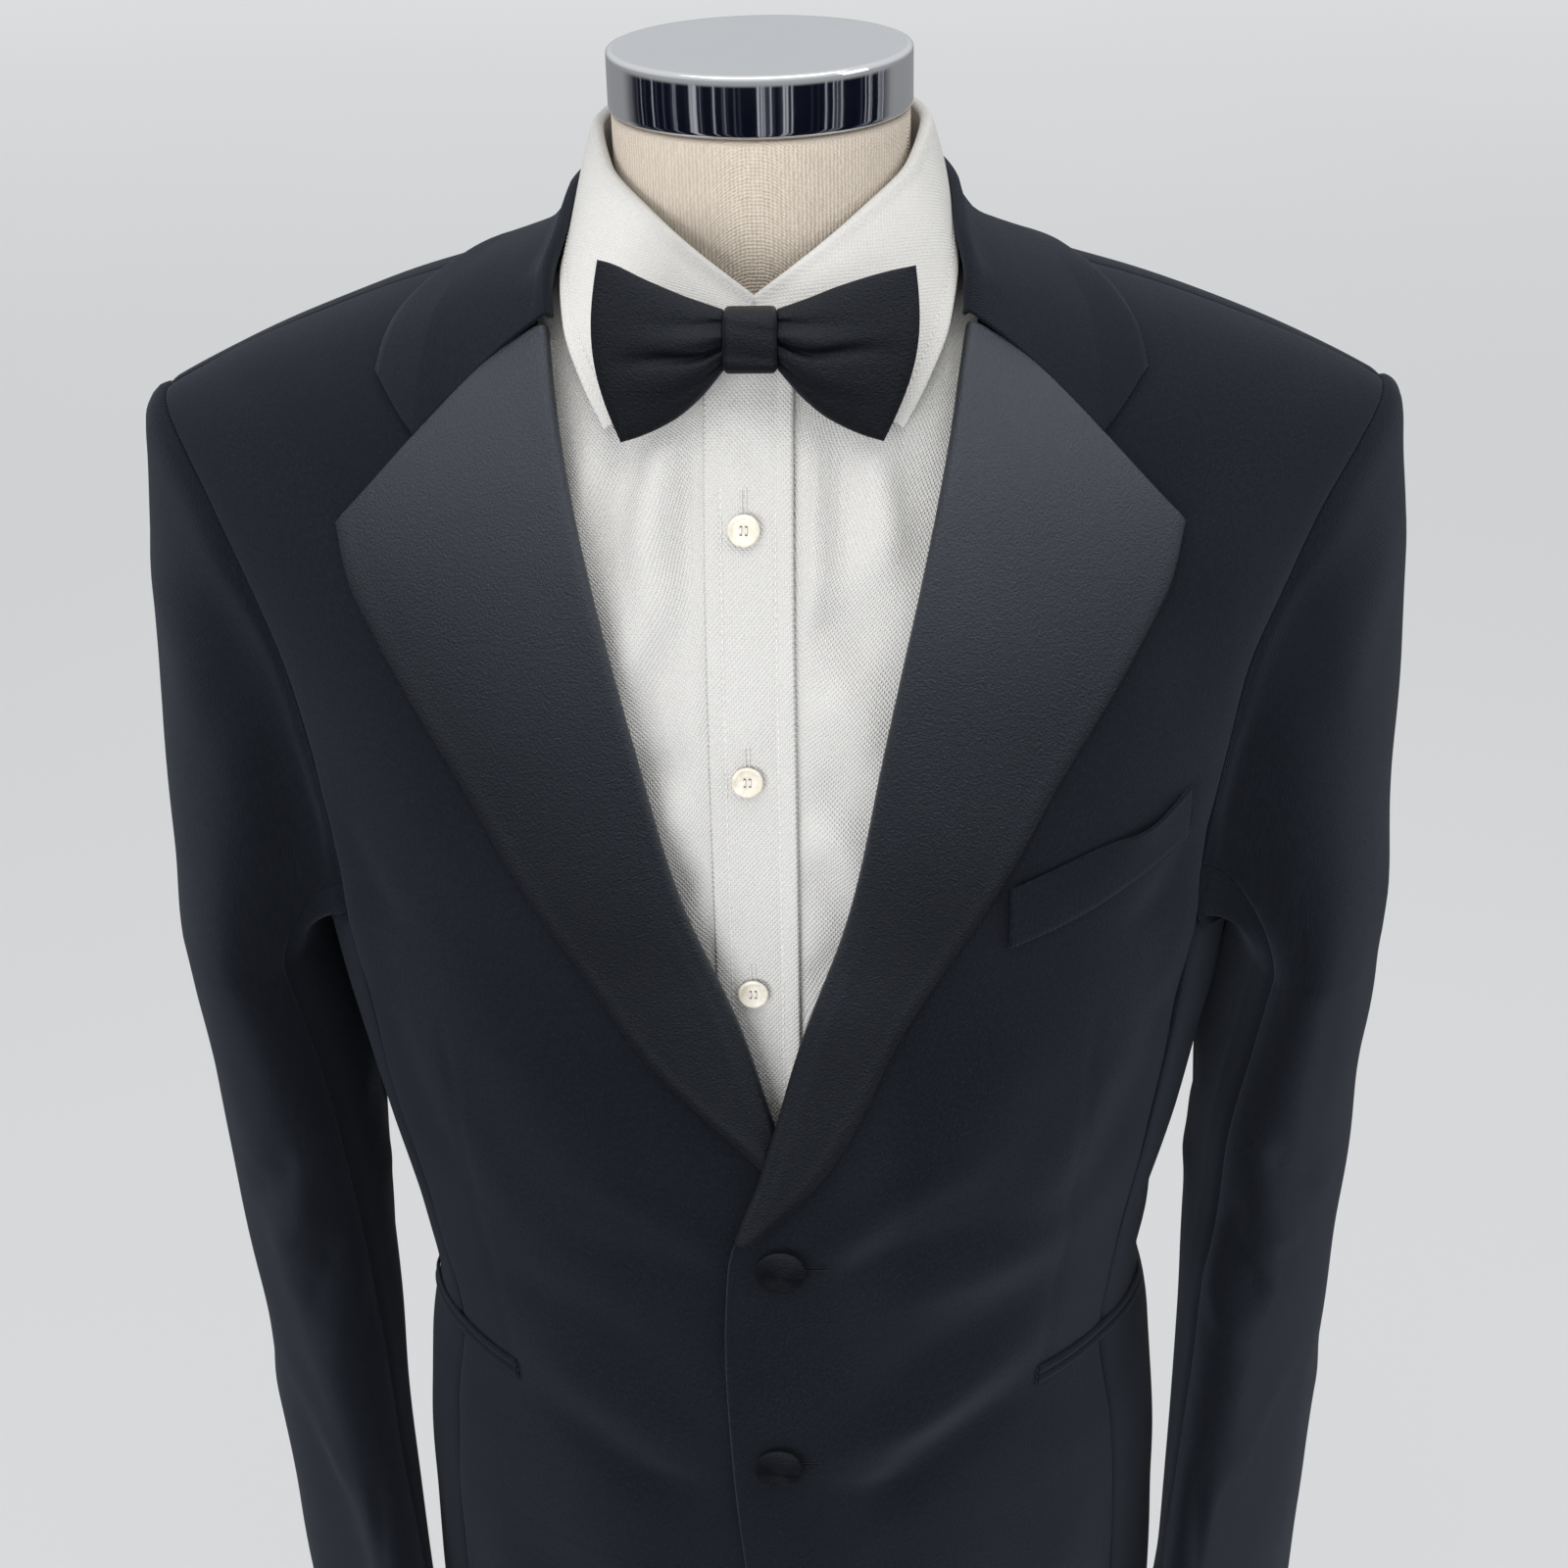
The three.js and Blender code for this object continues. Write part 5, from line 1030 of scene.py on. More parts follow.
HIP = Curve([(5, -556), (19, -541), (35, -530), (49, -527)])
for side, sign in (("left", 1), ("right", -1)):
    for lip, lo, hi in (("upper", 0.3, 4.9), ("lower", -4.9, -0.3)):
        a = np.concatenate([[5, 5.3], np.linspace(6, 48.4, 46), [48.8, 49]])[None, :]
        k = np.concatenate([[0, 0.08, 0.2], np.linspace(0.3, 0.7, 4), [0.8, 0.92, 1]])[:, None]
        P = JACKET.ring(HIP(a) + mix(lo, hi, k), np.radians(a) + 0 * k)
        n, _ = JACKET.outward(P)
        crown = 0.45 * np.sin(np.pi * k) + 0 * a
        off = (lift(P[..., 0], P[..., 2]) if sign > 0 else 0) + CLOTH + 0.2 - 0.8 * near(a - 5, 2.2)
        out, inn = P + n * (off + 0.75 + crown)[..., None], P + n * (off + 0 * crown)[..., None]
        out[..., 0] *= sign
        inn[..., 0] *= sign
        ob = shell(f"hip_jet_cloth_{lip}_{side}", out, inn, WOOL)
        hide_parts(f"hip_jet_{lip}_{side}")
    # bar tack at the inner end
    P = JACKET.ring(HIP(49.4) + np.linspace(-5, 5, 8), np.full(8, math.radians(49.4)))
    n, _ = JACKET.outward(P)
    P = P + n * ((lift(P[:, 0], P[:, 2]) if sign > 0 else 0) + CLOTH + 1.0)[..., None] if sign > 0 else P + n * (CLOTH + 1.0)
    P[:, 0] *= sign
    n = n * (sign, 1, 1)
    ob = thread_run("hip_tack_" + side, P, n, 3.2, 0.5, 0.8, BLACK_THREAD)


# ---------------------------------------------------------------- buttons
def placed(loops, centre, normal):
    """Turns loops round +z to stand on a point along a normal."""
    n = normal / np.linalg.norm(normal)
    up = np.array([0, 0, 1.0])
    x = unit(np.cross(up, n))
    y = np.cross(n, x)
    M = np.stack([x, y, n], -1)
    return [np.asarray(l) @ M.T + centre for l in loops]


for i, (bx, bz) in enumerate(JACKET_BUTTONS):
    P = JACKET.point(bx, bz, -1)
    n, _ = JACKET.outward(P)
    base = P + n * (float(lift(P[0], P[2])) + CLOTH + 0.4)
    prof = [(0.2, 0), (3.0, 0), (3.2, 1.2), (7.2, 1.5), (9.0, 1.9), (9.8, 2.5), (10.0, 3.1), (9.75, 3.8), (9.0, 4.5), (7.6, 5.1), (5.6, 5.6), (3.4, 5.87), (1.4, 5.97), (0.2, 6.0)]
    loops = lathe(prof, 64)
    for l in loops[7:]:  # the covering cloth is not quite even
        a = np.arctan2(l[:, 1], l[:, 0])
        l[:, 2] += 0.10 * np.sin(3 * a + i) * np.hypot(l[:, 0], l[:, 1]) / 10
    ob = rings(f"covered_button_{i + 1}", placed(loops, base, n), BOW_SATIN)
    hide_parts(f"jacket_button_{i + 1}")
    # buttonhole beside the button
    t = np.linspace(-9.5, 11.5, 15)
    x = bx + 6.5 + t
    q = JACKET.point(x, np.full(15, bz - 0.5), -1)
    m, _ = JACKET.outward(q)
    for j, dz in enumerate((-0.8, 0.8)):
        qq = q + m * (lift(q[:, 0], q[:, 2]) + CLOTH + 0.35)[:, None] + (0, 0, dz)
        ob = thread_run(f"jacket_buttonhole_{i + 1}_{j + 1}", qq, m, 0.9, 0.12, 0.75, BLACK_THREAD)


# ---------------------------------------------------------------- shirt
SHIRT_OUT = Curve([(-345, 0.999), (-325, 0.95), (-290, 0.9), (-240, 0.885), (-190, 0.89), (-150, 0.905), (-131, 0.915)])
S_LOW = np.concatenate([np.arange(-790, -460, 9.0), np.arange(-460, -300, 4.0), [-300]])
S_HIGH = np.concatenate([np.linspace(1.5, 84, 52), [86, 88, 90]])


def shirt_panel(face, inner, neck, u, low=S_LOW, high=S_HIGH):
    grid = []

    def row(z_of, lim_c):
        lim = lim_c ** (SHIRT.n / 2)
        c0 = inner / float(SHIRT.half(z_of(0.0)))
        a0, a1 = math.asin(min(1, abs(c0) ** (SHIRT.n / 2))), math.asin(lim)
        a = mix(a0, a1, u)
        c = np.sin(a) ** (2 / SHIRT.n)
        z0 = z_of(c * 200) * np.ones_like(c)
        x = c * SHIRT.half(z0)
        z = z_of(x) * np.ones_like(x)
        x = np.minimum(x, SHIRT.half(z) * lim_c)
        p = SHIRT.point(x, np.minimum(z, SHIRT.ridge(x)), face)
        on = z > SHIRT.ridge(x) - 0.01
        p[on, 1] = SHIRT.mid + face * 0.35
        grid.append(p)

    for z in low:
        lim = float(SHIRT_OUT(z))
        row(lambda x, z=z: z, 0.99999 if lim >= 0.999 else lim)
    for deg in high:
        f = lambda x, deg=deg: SHIRT.arm + rise(SHIRT, deg) * (np.minimum(SHIRT.ridge(x), np.where(np.abs(x) < 76, neck(np.abs(x)), 0)) - SHIRT.arm)
        row(f, float(SHIRT_OUT(float(f(190.0)))))
    return np.array(grid)


SHIRT_FOLDS_LEFT = [
    (17, -112, 21, -186, 6, 2.0, 1.5), (27, -108, 33, -168, 6, -1.8, 2), (37, -112, 50, -164, 6, 1.6, 3),
    (46, -118, 60, -176, 8, -1.3, 3), (17, -234, 52, -258, 7, -1.3, 2), (16, -247, 46, -286, 7, 1.2, 2),
    (17, -262, 40, -306, 7, -1.0, 2), (18, -322, 40, -300, 7, -1.1, 2), (24, -160, 60, -215, 11, -1.2, 3),
    (60, -120, 70, -170, 8, -1.0, 1), (20, -200, 48, -226, 8, 1.0, 2), (18, -172, 44, -196, 7, -0.9, 2),
]
SHIRT_FOLDS_RIGHT = [
    (19, -108, 24, -190, 6, -2.0, 2), (27, -106, 40, -176, 7, 2.2, 3), (38, -108, 56, -172, 7, -1.8, 3),
    (52, -112, 68, -168, 8, 1.2, 2), (20, -150, 52, -208, 9, 1.5, 3), (22, -172, 44, -232, 8, -1.2, 3),
    (19, -222, 60, -244, 7, -1.5, 2), (19, -238, 54, -272, 8, 1.4, 2), (19, -262, 44, -312, 7, -1.3, 2),
    (19, -318, 40, -340, 7, 1.1, 1), (60, -180, 40, -250, 11, 1.0, -3), (19, -286, 38, -300, 6, 0.9, 1),
]


def shirt_front(side, sign, inner, rows):
    u = np.concatenate([[0, 0.004, 0.01], np.linspace(0.02, 0.55, 46), np.linspace(0.58, 1, 14)])
    P = shirt_panel(-1, inner, NECK_LINE, u)
    P[:, -1, 1] = np.minimum(P[:, -1, 1], SHIRT.mid - 1.2)
    n, _ = SHIRT.outward(P)
    x, z = P[..., 0], P[..., 2]
    d = (2.1 * folds(x, z, rows) + ripple(x, z, 51 + (sign > 0), 40, 0.65)) * ease((x - inner) / 5) * (1 - ease((x - 90) / 30))
    d = d - 0.5 * near(x - inner - 1.5, 3.0)
    out = P + n * (SHIRTING + d)[..., None]
    inn = P + n * d[..., None]
    out[..., 0] *= sign
    inn[..., 0] *= sign
    ob = shell("shirt_cloth_front_" + side, out, inn, COTTON)
    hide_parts("shirt_front_" + side)


shirt_front("left", 1, PLACKET[1] + 0.25, SHIRT_FOLDS_LEFT)
shirt_front("right", -1, -PLACKET[0] + 0.25, SHIRT_FOLDS_RIGHT)
u = np.linspace(0, 1, 22)
hb_low = np.arange(-790, -300, 14.0)
hb = shirt_panel(1, 0.0, SHIRT_NECK_BACK, u, hb_low, np.concatenate([np.linspace(3, 40, 10), np.linspace(44, 84, 12), [87, 90]]))
hb[:, 0, 0] = 0
back_grid = np.concatenate([hb[:, 1:][:, ::-1] * (-1, 1, 1), hb], 1)
nb, _ = SHIRT.outward(back_grid)
db = ripple(back_grid[..., 0], back_grid[..., 2], 61, 90, 0.5)
yoke_row = len(hb_low) + 9  # the yoke seam across the shoulder blades
below, yoke = np.arange(yoke_row + 1), np.arange(yoke_row, len(back_grid))
seam_drop = np.zeros(back_grid.shape)
seam_drop[yoke_row] = 0.35 * unit(back_grid[yoke_row - 1] - back_grid[yoke_row])
back_out, back_in = back_grid + nb * (SHIRTING + db)[..., None], back_grid + nb * db[..., None]
ob = shell("shirt_cloth_back", (back_out + seam_drop)[below], (back_in + seam_drop)[below], COTTON)
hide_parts("shirt_back")
ob = shell("shirt_cloth_yoke", back_out[yoke], back_in[yoke], COTTON)
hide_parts("shirt_yoke")

# front band: its wearer's-left edge laps over, with a fold along it
pz = np.concatenate([np.arange(-790, -440, 12.0), np.arange(-440, -98, 3.0), [-97]])[:, None]
pu = np.concatenate([[0, 0.015, 0.04], np.linspace(0.08, 0.92, 26), [0.96, 0.985, 1]])[None, :]
px = mix(PLACKET[0], PLACKET[1], pu) + 1.2 * np.sin(pz / 57.0) * 0.35
P = SHIRT.point(px + 0 * pz, pz + 0 * px, -1)
n, _ = SHIRT.outward(P)
x, z = P[..., 0], P[..., 2]
d = ripple(x * 2, z, 71, 60, 0.35)
for bz in SHIRT_BUTTONS:  # the band puckers slightly at each button
    d = d + 0.8 * near(z - bz - 16, 9) * near(x + 2, 9) - 0.5 * near(z - bz, 6) * near(x + 2, 8)
d = d + folds(x, z, [(-14, -110, -6, -136, 4, 1.1, 1), (-4, -108, 4, -138, 4, -0.9, 1), (8, -106, 9, -150, 4, 0.8, 0.5)])
d = d * near((pu - 0.5) / 0.62, 1)
for edge_x, inward in ((PLACKET[0], 5.5), (PLACKET[1], -5.5)):
    d = d - 0.28 * near(x - edge_x - inward, 0.9) + 0.12 * near(x - edge_x - inward * 0.5, 2.0)
d = d + 1.15 * ease((x - 7) / 6.5)
d = d + 1.1 * near((z + 0.9 * x + 116) / 5.0, 1) * near((x + 6) / 14, 1) * near((z + 122) / 22, 1)
placket_out = P + n * (SHIRTING + 1.0 + d)[..., None]
placket = shell("shirt_band", placket_out, P + n * (0.35 + 0.7 * d)[..., None], COTTON)
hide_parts("shirt_placket")
for j, (edge_x, inward) in enumerate(((PLACKET[0], 5.5), (PLACKET[1], -5.5))):
    zz = np.linspace(-392, -104, 200)
    xx = edge_x + inward + 0.42 * np.sin(zz / 57.0)
    P = SHIRT.point(xx, zz, -1)
    n, _ = SHIRT.outward(P)
    off = SHIRTING + 1.0 - 0.18 + 1.15 * ease((xx - 7) / 6.5)
    dd = ripple(xx * 2, zz, 71, 60, 0.35) * 0.8
    thread_run(f"band_stitches_{j + 1}", P + n * (off + dd)[:, None], n, 3.0, 0.9, 0.5, THREAD)
for i, bz in enumerate(SHIRT_BUTTONS):
    P = SHIRT.point(-3.0, bz, -1)
    n, _ = SHIRT.outward(P)
    base = P + n * (SHIRTING + 0.95)
    prof = [(0.3, 0), (2.4, 0), (2.5, 0.5), (4.9, 0.7), (5.6, 1.1), (5.85, 1.6), (5.7, 2.15), (5.2, 2.4), (4.7, 2.36), (4.2, 2.05), (3.6, 1.85), (2.0, 1.8), (0.3, 1.8)]
    loops = lathe(prof, 48)
    face_loops = placed(loops, base, n)
    ob = rings(f"pearl_button_{i + 1}", face_loops, PEARL)
    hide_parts(f"shirt_button_{i + 1}")
    # thread through four holes
    nn = n / np.linalg.norm(n)
    ax = unit(np.cross([0, 0, 1.0], nn))
    ay = np.cross(nn, ax)
    for j, (sx, sy) in enumerate(((-0.95, 0), (0.95, 0))):
        line = np.array([base + nn * (1.9 + 0.25 * math.sin(math.pi * q)) + ax * sx + ay * mix(-1.3, 1.3, q) for q in np.linspace(0, 1, 6)])
        tob = thread_run(f"pearl_thread_{i + 1}_{j + 1}", line, np.repeat(nn[None], 6, 0), 2.6, 0.05, 0.75, THREAD)
    # dark discs in the four holes: painted shade standing for the shade inside each hole
    for j, (sx, sy) in enumerate(((-0.95, -1.3), (0.95, -1.3), (-0.95, 1.3), (0.95, 1.3))):
        hole = rings(f"pearl_hole_shade_{i + 1}_{j + 1}", placed(lathe([(0.05, -0.1), (0.5, -0.1), (0.5, 0.05), (0.05, 0.05)], 14), base + nn * 1.82 + ax * sx + ay * sy, nn), HOLE_SHADE)
    # upright buttonhole above it
    for j, dx in enumerate((-0.75, 0.75)):
        zz = np.linspace(bz - 4, bz + 13.5, 20)
        P = SHIRT.point(np.full(20, -3.0 + dx), zz, -1)
        m, _ = SHIRT.outward(P)
        dd = 0.8 * near(zz - bz - 16, 9) * near(-1.0, 9) - 0.5 * near(zz - bz, 6) + ripple(np.full(20, -6.0), zz, 71, 60, 0.35)
        thread_run(f"band_buttonhole_{i + 1}_{j + 1}", P + m * (SHIRTING + 1.0 + dd + 0.05)[:, None], m, 0.8, 0.1, 0.7, THREAD)


# ---------------------------------------------------------------- shirt collar
def shirt_foot(t):
    x, b = float(SC[0](t)), float(ease(SC[1](t)))
    f = SHIRT.point(x, float(NECK_LINE(x)), -1)
    h = SHIRT.point(x, float(SHIRT_NECK_BACK(x)), 1)
    p = mix(f, h, b)
    r = math.hypot(p[0], p[1])
    return np.array([p[0] * (1 - 3 / r), p[1] * (1 - 3 / r), p[2] + 0.2 + 1.4 * b + 3 * math.sin(math.pi * b)])


TC = np.concatenate([[0, 0.006, 0.015], np.linspace(0.028, 1, 64)])
half = np.array([[mix(shirt_foot(float(t)), np.array([float(SC[2](t)), float(SC[3](t)), float(SC[4](t)) - 1.6]), s) for s in np.linspace(0, 1, 9)] for t in TC])
stand = np.concatenate([half, half[:-1][::-1] * (-1, 1, 1)])
ns = grid_normals(stand)
if ns[len(half) - 1, 4, 1] < 0:
    ns = -ns
ob = shell("collar_stand_cloth", stand + ns * 1.1, stand, COLLAR_COTTON)
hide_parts("shirt_collar_stand")
bandg = np.array([mix(l[0], l[8], np.linspace(0.3, 0.62, 5)[:, None]) for l in stand[4:-4]])
nbg = grid_normals(bandg)
if nbg[len(bandg) // 2, 2, 1] < 0:
    nbg = -nbg
ob = shell("bow_band_cloth", bandg + nbg * 2.9, bandg + nbg * 2.1, BOW_SATIN)
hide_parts("bow_neckband")


def leaf_line(t):
    fold = np.array([float(SC[2](t)), float(SC[3](t)), float(SC[4](t))])
    edge = np.array([float(SC[5](t)), float(SC[6](t)), float(SC[7](t))])
    o = unit(np.array([fold[0], fold[1], 0.0]))
    start = [fold - o * 0.2 + (0, 0, -0.6), fold + o * 0.35 + (0, 0, 0.7), fold + o * 1.4 + (0, 0, 1.2), fold + o * 2.6 + (0, 0, 0.2), fold + o * 3.4 + (0, 0, -2.2)]
    s = np.concatenate([np.linspace(0.05, 0.9, 20), [0.94, 0.975, 1.0]])[:, None]
    body = mix(start[-1], edge, s) + o * 1.2 * np.sin(np.pi * s) * float(ease(t * 6))
    body = body + np.array([0, -5.5, 0]) * np.sin(np.pi * s**0.6) * (1 - float(ease(t / 0.2)))
    body = SHIRT.clear(body, SHIRTING + 1.6)
    return np.concatenate([np.array(start), body])


half = np.array([leaf_line(float(t)) for t in TC])
leaf = np.concatenate([half, half[:-1][::-1] * (-1, 1, 1)])
nl = grid_normals(leaf)
if nl[len(half) - 1, 12, 1] < 0:
    nl = -nl
R, Cn = leaf.shape[:2]
toedge = np.linalg.norm(leaf - leaf[:, -1:], axis=-1)
tofront = np.minimum(np.linalg.norm(leaf - leaf[:1], axis=-1), np.linalg.norm(leaf - leaf[-1:], axis=-1))
dl = -0.22 * near(toedge - 5.5, 0.9) - 0.22 * near(tofront - 5.5, 0.9) * (np.arange(Cn) > 5)[None, :] + 0.15 * near(toedge - 2.4, 2.0)
ob = shell("collar_leaf_cloth", leaf + nl * (1.0 + dl)[..., None], leaf, COLLAR_COTTON)
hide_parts("shirt_collar_leaf")


def along_line(grid, normals, pick):
    pts = np.array([grid[i][j] for i, j in pick])
    nn = np.array([normals[i][j] for i, j in pick])
    return pts, nn


def inset_line(toward, amount):
    """Points of the leaf at a set distance from an edge, row by row."""
    pts, nn = [], []
    for i in range(R):
        j = int(np.argmin(np.abs(toward[i] - amount) + (np.arange(Cn) < 6) * 99))
        pts.append(leaf[i, j] + nl[i, j] * 0.95)
        nn.append(nl[i, j])
    return np.array(pts), np.array(nn)


def edge_offset(dist, rows):
    """Exact points of the leaf at dist from its lower edge."""
    pts, nn = [], []
    for i in rows:
        d = toedge[i][::-1]
        pts.append([np.interp(dist, d, leaf[i][::-1][:, c]) for c in range(3)])
        nn.append([np.interp(dist, d, nl[i][::-1][:, c]) for c in range(3)])
    pts, nn = np.array(pts), unit(np.array(nn))
    return pts + nn * 0.92, nn


rows_a = [i for i in range(R) if 0.5 * (tofront[i, -1]) > 2.4]
p, n = edge_offset(5.5, rows_a)
thread_run("leaf_stitches_edge", p, n, 2.7, 0.8, 0.45, THREAD)
for j, end in enumerate((0, R - 1)):
    step = 1 if end == 0 else -1
    d0 = np.array([np.linalg.norm(leaf[end + step * q] - leaf[end], axis=-1) for q in range(0, 14)])  # (rows, cols)
    pts, nn = [], []
    for c in range(6, Cn - 3):
        col = d0[:, c]
        if toedge[end, c] < 5.0 or col.max() < 5.5:
            continue
        pts.append([np.interp(5.5, col, [leaf[end + step * q][c][k] for q in range(14)]) for k in range(3)])
        nn.append(nl[end, c])
    if len(pts) > 3:
        pts, nn = np.array(pts), unit(np.array(nn))
        thread_run(f"leaf_stitches_front_{j + 1}", pts + nn * 0.95, nn, 2.7, 0.8, 0.45, THREAD)

# ---------------------------------------------------------------- bow tie
WING = [  # share of length, top x z, bottom x z, thickness
    (0.0, 9.38, -70, 9.38, -90.5, 9), (0.25, 20, -66.5, 18, -100, 11), (0.5, 31, -62.5, 27, -107, 10),
    (0.8, 47, -58, 39, -112.5, 7), (1.0, 57, -56, 46, -114.5, 4),
]
WC = [Curve([(r[0], r[k]) for r in WING]) for k in range(1, 6)]


def bow_plane(z):
    return mix(-93.0, -107.0, (z + 56) / -59.0)


def wing(side, sign):
    loops = []
    for s in np.concatenate([[0, 0.02], np.linspace(0.05, 0.95, 40), [0.975, 0.99, 1.0]]):
        tx, tz, lx, lz, th = (float(c(s)) for c in WC)
        front_u = np.concatenate([[0, 0.01, 0.03], np.linspace(0.06, 0.94, 48), [0.97, 0.99]])
        back_u = np.concatenate([[1.0, 0.99, 0.97], np.linspace(0.94, 0.06, 20), [0.03, 0.01]])
        loop = []
        end = 1 - 0.55 * float(ease((s - 0.93) / 0.07))
        for u, face in ((front_u, -1), (back_u, 1)):
            x, z = mix(tx, lx, u), mix(tz, lz, u)
            # the free end bows outwards
            x = x + (5.8 if sign > 0 else 4.6) * np.sin(np.pi * u) * float(ease((s - 0.4) / 0.6))
            if sign < 0:
                x = x - 4.5 * (1 - u) ** 2 * float(ease((s - 0.55) / 0.45))
                z = z + 2.6 * (1 - u) ** 2 * float(ease((s - 0.35) / 0.65))
            fat = np.sin(np.pi * np.clip(u, 1e-4, 1 - 1e-4)) ** 0.5
            h = th / 2 * fat * end
            if face < 0:
                k = 1 - s
                c = 0.56 if sign < 0 else 0.50
                wob = 0.02 * math.sin(7 * s + (0 if sign > 0 else 1.3))
                # one deep pleat from the knot at mid height, a shallow one above and below
                reach = float(ease((0.98 - s) / 0.6))
                main = near((u - c - wob + 0.04 * s) / (0.022 + 0.045 * s), 1) * 3.2 * reach * (0.35 + 0.65 * k)
                up = near((u - 0.20 - 0.16 * s) / (0.05 + 0.05 * s), 1) * 1.5 * k**1.3
                low = near((u - 0.83 + 0.05 * s) / (0.05 + 0.04 * s), 1) * 1.1 * k**1.8
                swell = near((u - 0.36) / 0.11, 1) * 1.5 * k + near((u - 0.68) / 0.1, 1) * 0.9 * k
                h = h - main - up - low + swell
                h = np.maximum(h, 0.25)
            else:
                h = h * 0.6
            loop.append(np.stack([sign * x, bow_plane(z) + face * h, z], -1))
        loops.append(np.concatenate(loop))
    ob = rings("bow_cloth_" + side, loops, BOW_SATIN)
    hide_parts("bow_wing_" + side)


wing("left", 1)
wing("right", -1)
loops = []
for x in np.concatenate([[-9.3, -9.1, -8.7, -8.0], np.linspace(-7, 7, 17), [8.0, 8.7, 9.1, 9.3]]):
    a = np.linspace(0, 2 * math.pi, 72, endpoint=False)
    c, s = np.cos(a), np.sin(a)
    q = max(0.0, (abs(x) - 7.6) / 1.7)
    k = 1 - 0.16 * q * q
    z = -79.8 + 10.6 * k * np.sign(s) * np.abs(s) ** 0.6
    pinch = 0.55 * near((z + 83.5 + 0.1 * x) / 2.0, 1) + 0.35 * near((z + 74.5 + 0.15 * x) / 1.6, 1)
    y = -1.5 + 6.8 * k * np.sign(c) * np.abs(c) ** 0.6
    y = np.where(c < 0, y + pinch, y)
    loops.append(np.stack([x * (1.012 - 0.008 * ease((z + 86) / 16)), bow_plane(z) + y, z], -1))
ob = rings("bow_knot_cloth", loops, BOW_SATIN)
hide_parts("bow_knot")

# ---------------------------------------------------------------- dress form
SEG = 128


def form_ring(z):
    hi = float(FORM.half(z))
    if z > FORM.arm:
        hi = min(hi, 199)
        lo = 0.0
        for _ in range(40):
            x = (lo + hi) / 2
            if float(FORM.ridge(x)) > z:
                lo = x
            else:
                hi = x
        hi = lo
    tuck = 0.93 + 0.07 * math.sqrt(max(0, 1 - ((-750 - z) / 10.5) ** 2)) if z < -750 else 1
    a = np.linspace(0, 2 * math.pi, SEG, endpoint=False)
    c, s = np.cos(a), np.sin(a)
    x = hi * np.sign(c) * np.abs(c) ** (2 / FORM.n)
    f, b = FORM.point(x, np.full(SEG, z), -1), FORM.point(x, np.full(SEG, z), 1)
    y = np.where(s < 0, f[:, 1], b[:, 1])
    if z <= FORM.arm:
        far = np.where(s < 0, FORM.front(z), FORM.back(z))
        y = FORM.mid + (far - FORM.mid) * np.abs(s) ** (2 / FORM.n)
    y = np.where(np.abs(s) < 1e-6, FORM.mid, y)
    return np.stack([x * tuck, mix(FORM.mid, y, tuck), np.full(SEG, z)], -1)


a = np.linspace(0, 2 * math.pi, SEG, endpoint=False)
ring_z = np.concatenate([[-760, -758.5, -755, -750, -742], np.linspace(-730, -300, 40), np.linspace(-290, -109, 34)])
loops = [form_ring(float(z)) for z in ring_z]
shoulder = loops[-1]
for z, k in ((-106.5, 0.22), (-104, 0.36), (-101, 0.5), (-97, 0.68), (-93, 0.82), (-88.5, 0.92), (-84, 0.97), (-77, 0.99), (-70, 1.0), (-62, 1), (-50, 1), (-38, 1), (-30, 1), (-24, 1), (-22.6, 0.997)):
    neck = np.stack([55.5 * np.cos(a), 55.5 * np.sin(a), np.full(SEG, z)], -1)
    ring = mix(shoulder, neck, k)
    ring[:, 2] = z
    loops.append(ring if k != 0.997 else neck * (0.985, 0.985, 1))
ob = rings("torso_canvas", loops, LINEN)
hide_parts("form_torso")

# chrome neck cap, with a brushed top
prof = [(54.0, -22.0), (55.2, -21.9), (56.0, -21.4), (56.4, -20.6), (56.5, -19.6), (56.5, -12), (56.5, -4), (56.5, -1.6), (56.35, -0.8), (55.95, -0.3), (55.3, -0.04), (54.2, 0.0), (50, 0.0), (30, 0.0), (12, 0.0), (0.4, 0.0)]
ob = rings("cap_metal", lathe([(0.4, -22.0)] + prof, 160), CHROME)
ob.data.materials.append(CHROME_TOP)
for p in ob.data.polygons:
    r = math.hypot(p.center[0], p.center[1]) * 1000
    if p.center[2] > (CAP_TOP - 0.03) / 1000 and r < 54.5:
        p.material_index = 1
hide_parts("form_neck_cap")


def turned(name, profile, node_name, segments=128):
    loops = [l - (0, 0, CAP_TOP) for l in lathe(profile, segments)]
    ob = rings(name, loops, CHROME)
    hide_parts(node_name)
    return ob


turned("foot_metal", [(0.5, 0), (100, 0), (186, 0), (188.6, 0.35), (189.8, 1.4), (190, 3), (190, 6), (189.6, 8.1), (188.2, 9.5), (186, 10), (150, 10), (80, 10.1), (34, 10.6), (31, 11.4), (29.4, 13.5), (28, 18), (26.4, 24), (24.6, 28), (22.5, 29.7), (20, 30), (0.5, 30)], "stand_foot")
top = CAP_TOP - 760.4
turned("pole_metal", [(0.4, 30.4), (15.2, 30.4), (16, 31.4), (16, 60), (16, top - 60), (16, top - 20), (18, top - 17), (26, top - 13), (29, top - 11.5), (30, top - 9.5), (30, top - 1), (29.2, top), (0.4, top)], "stand_pole", 96)

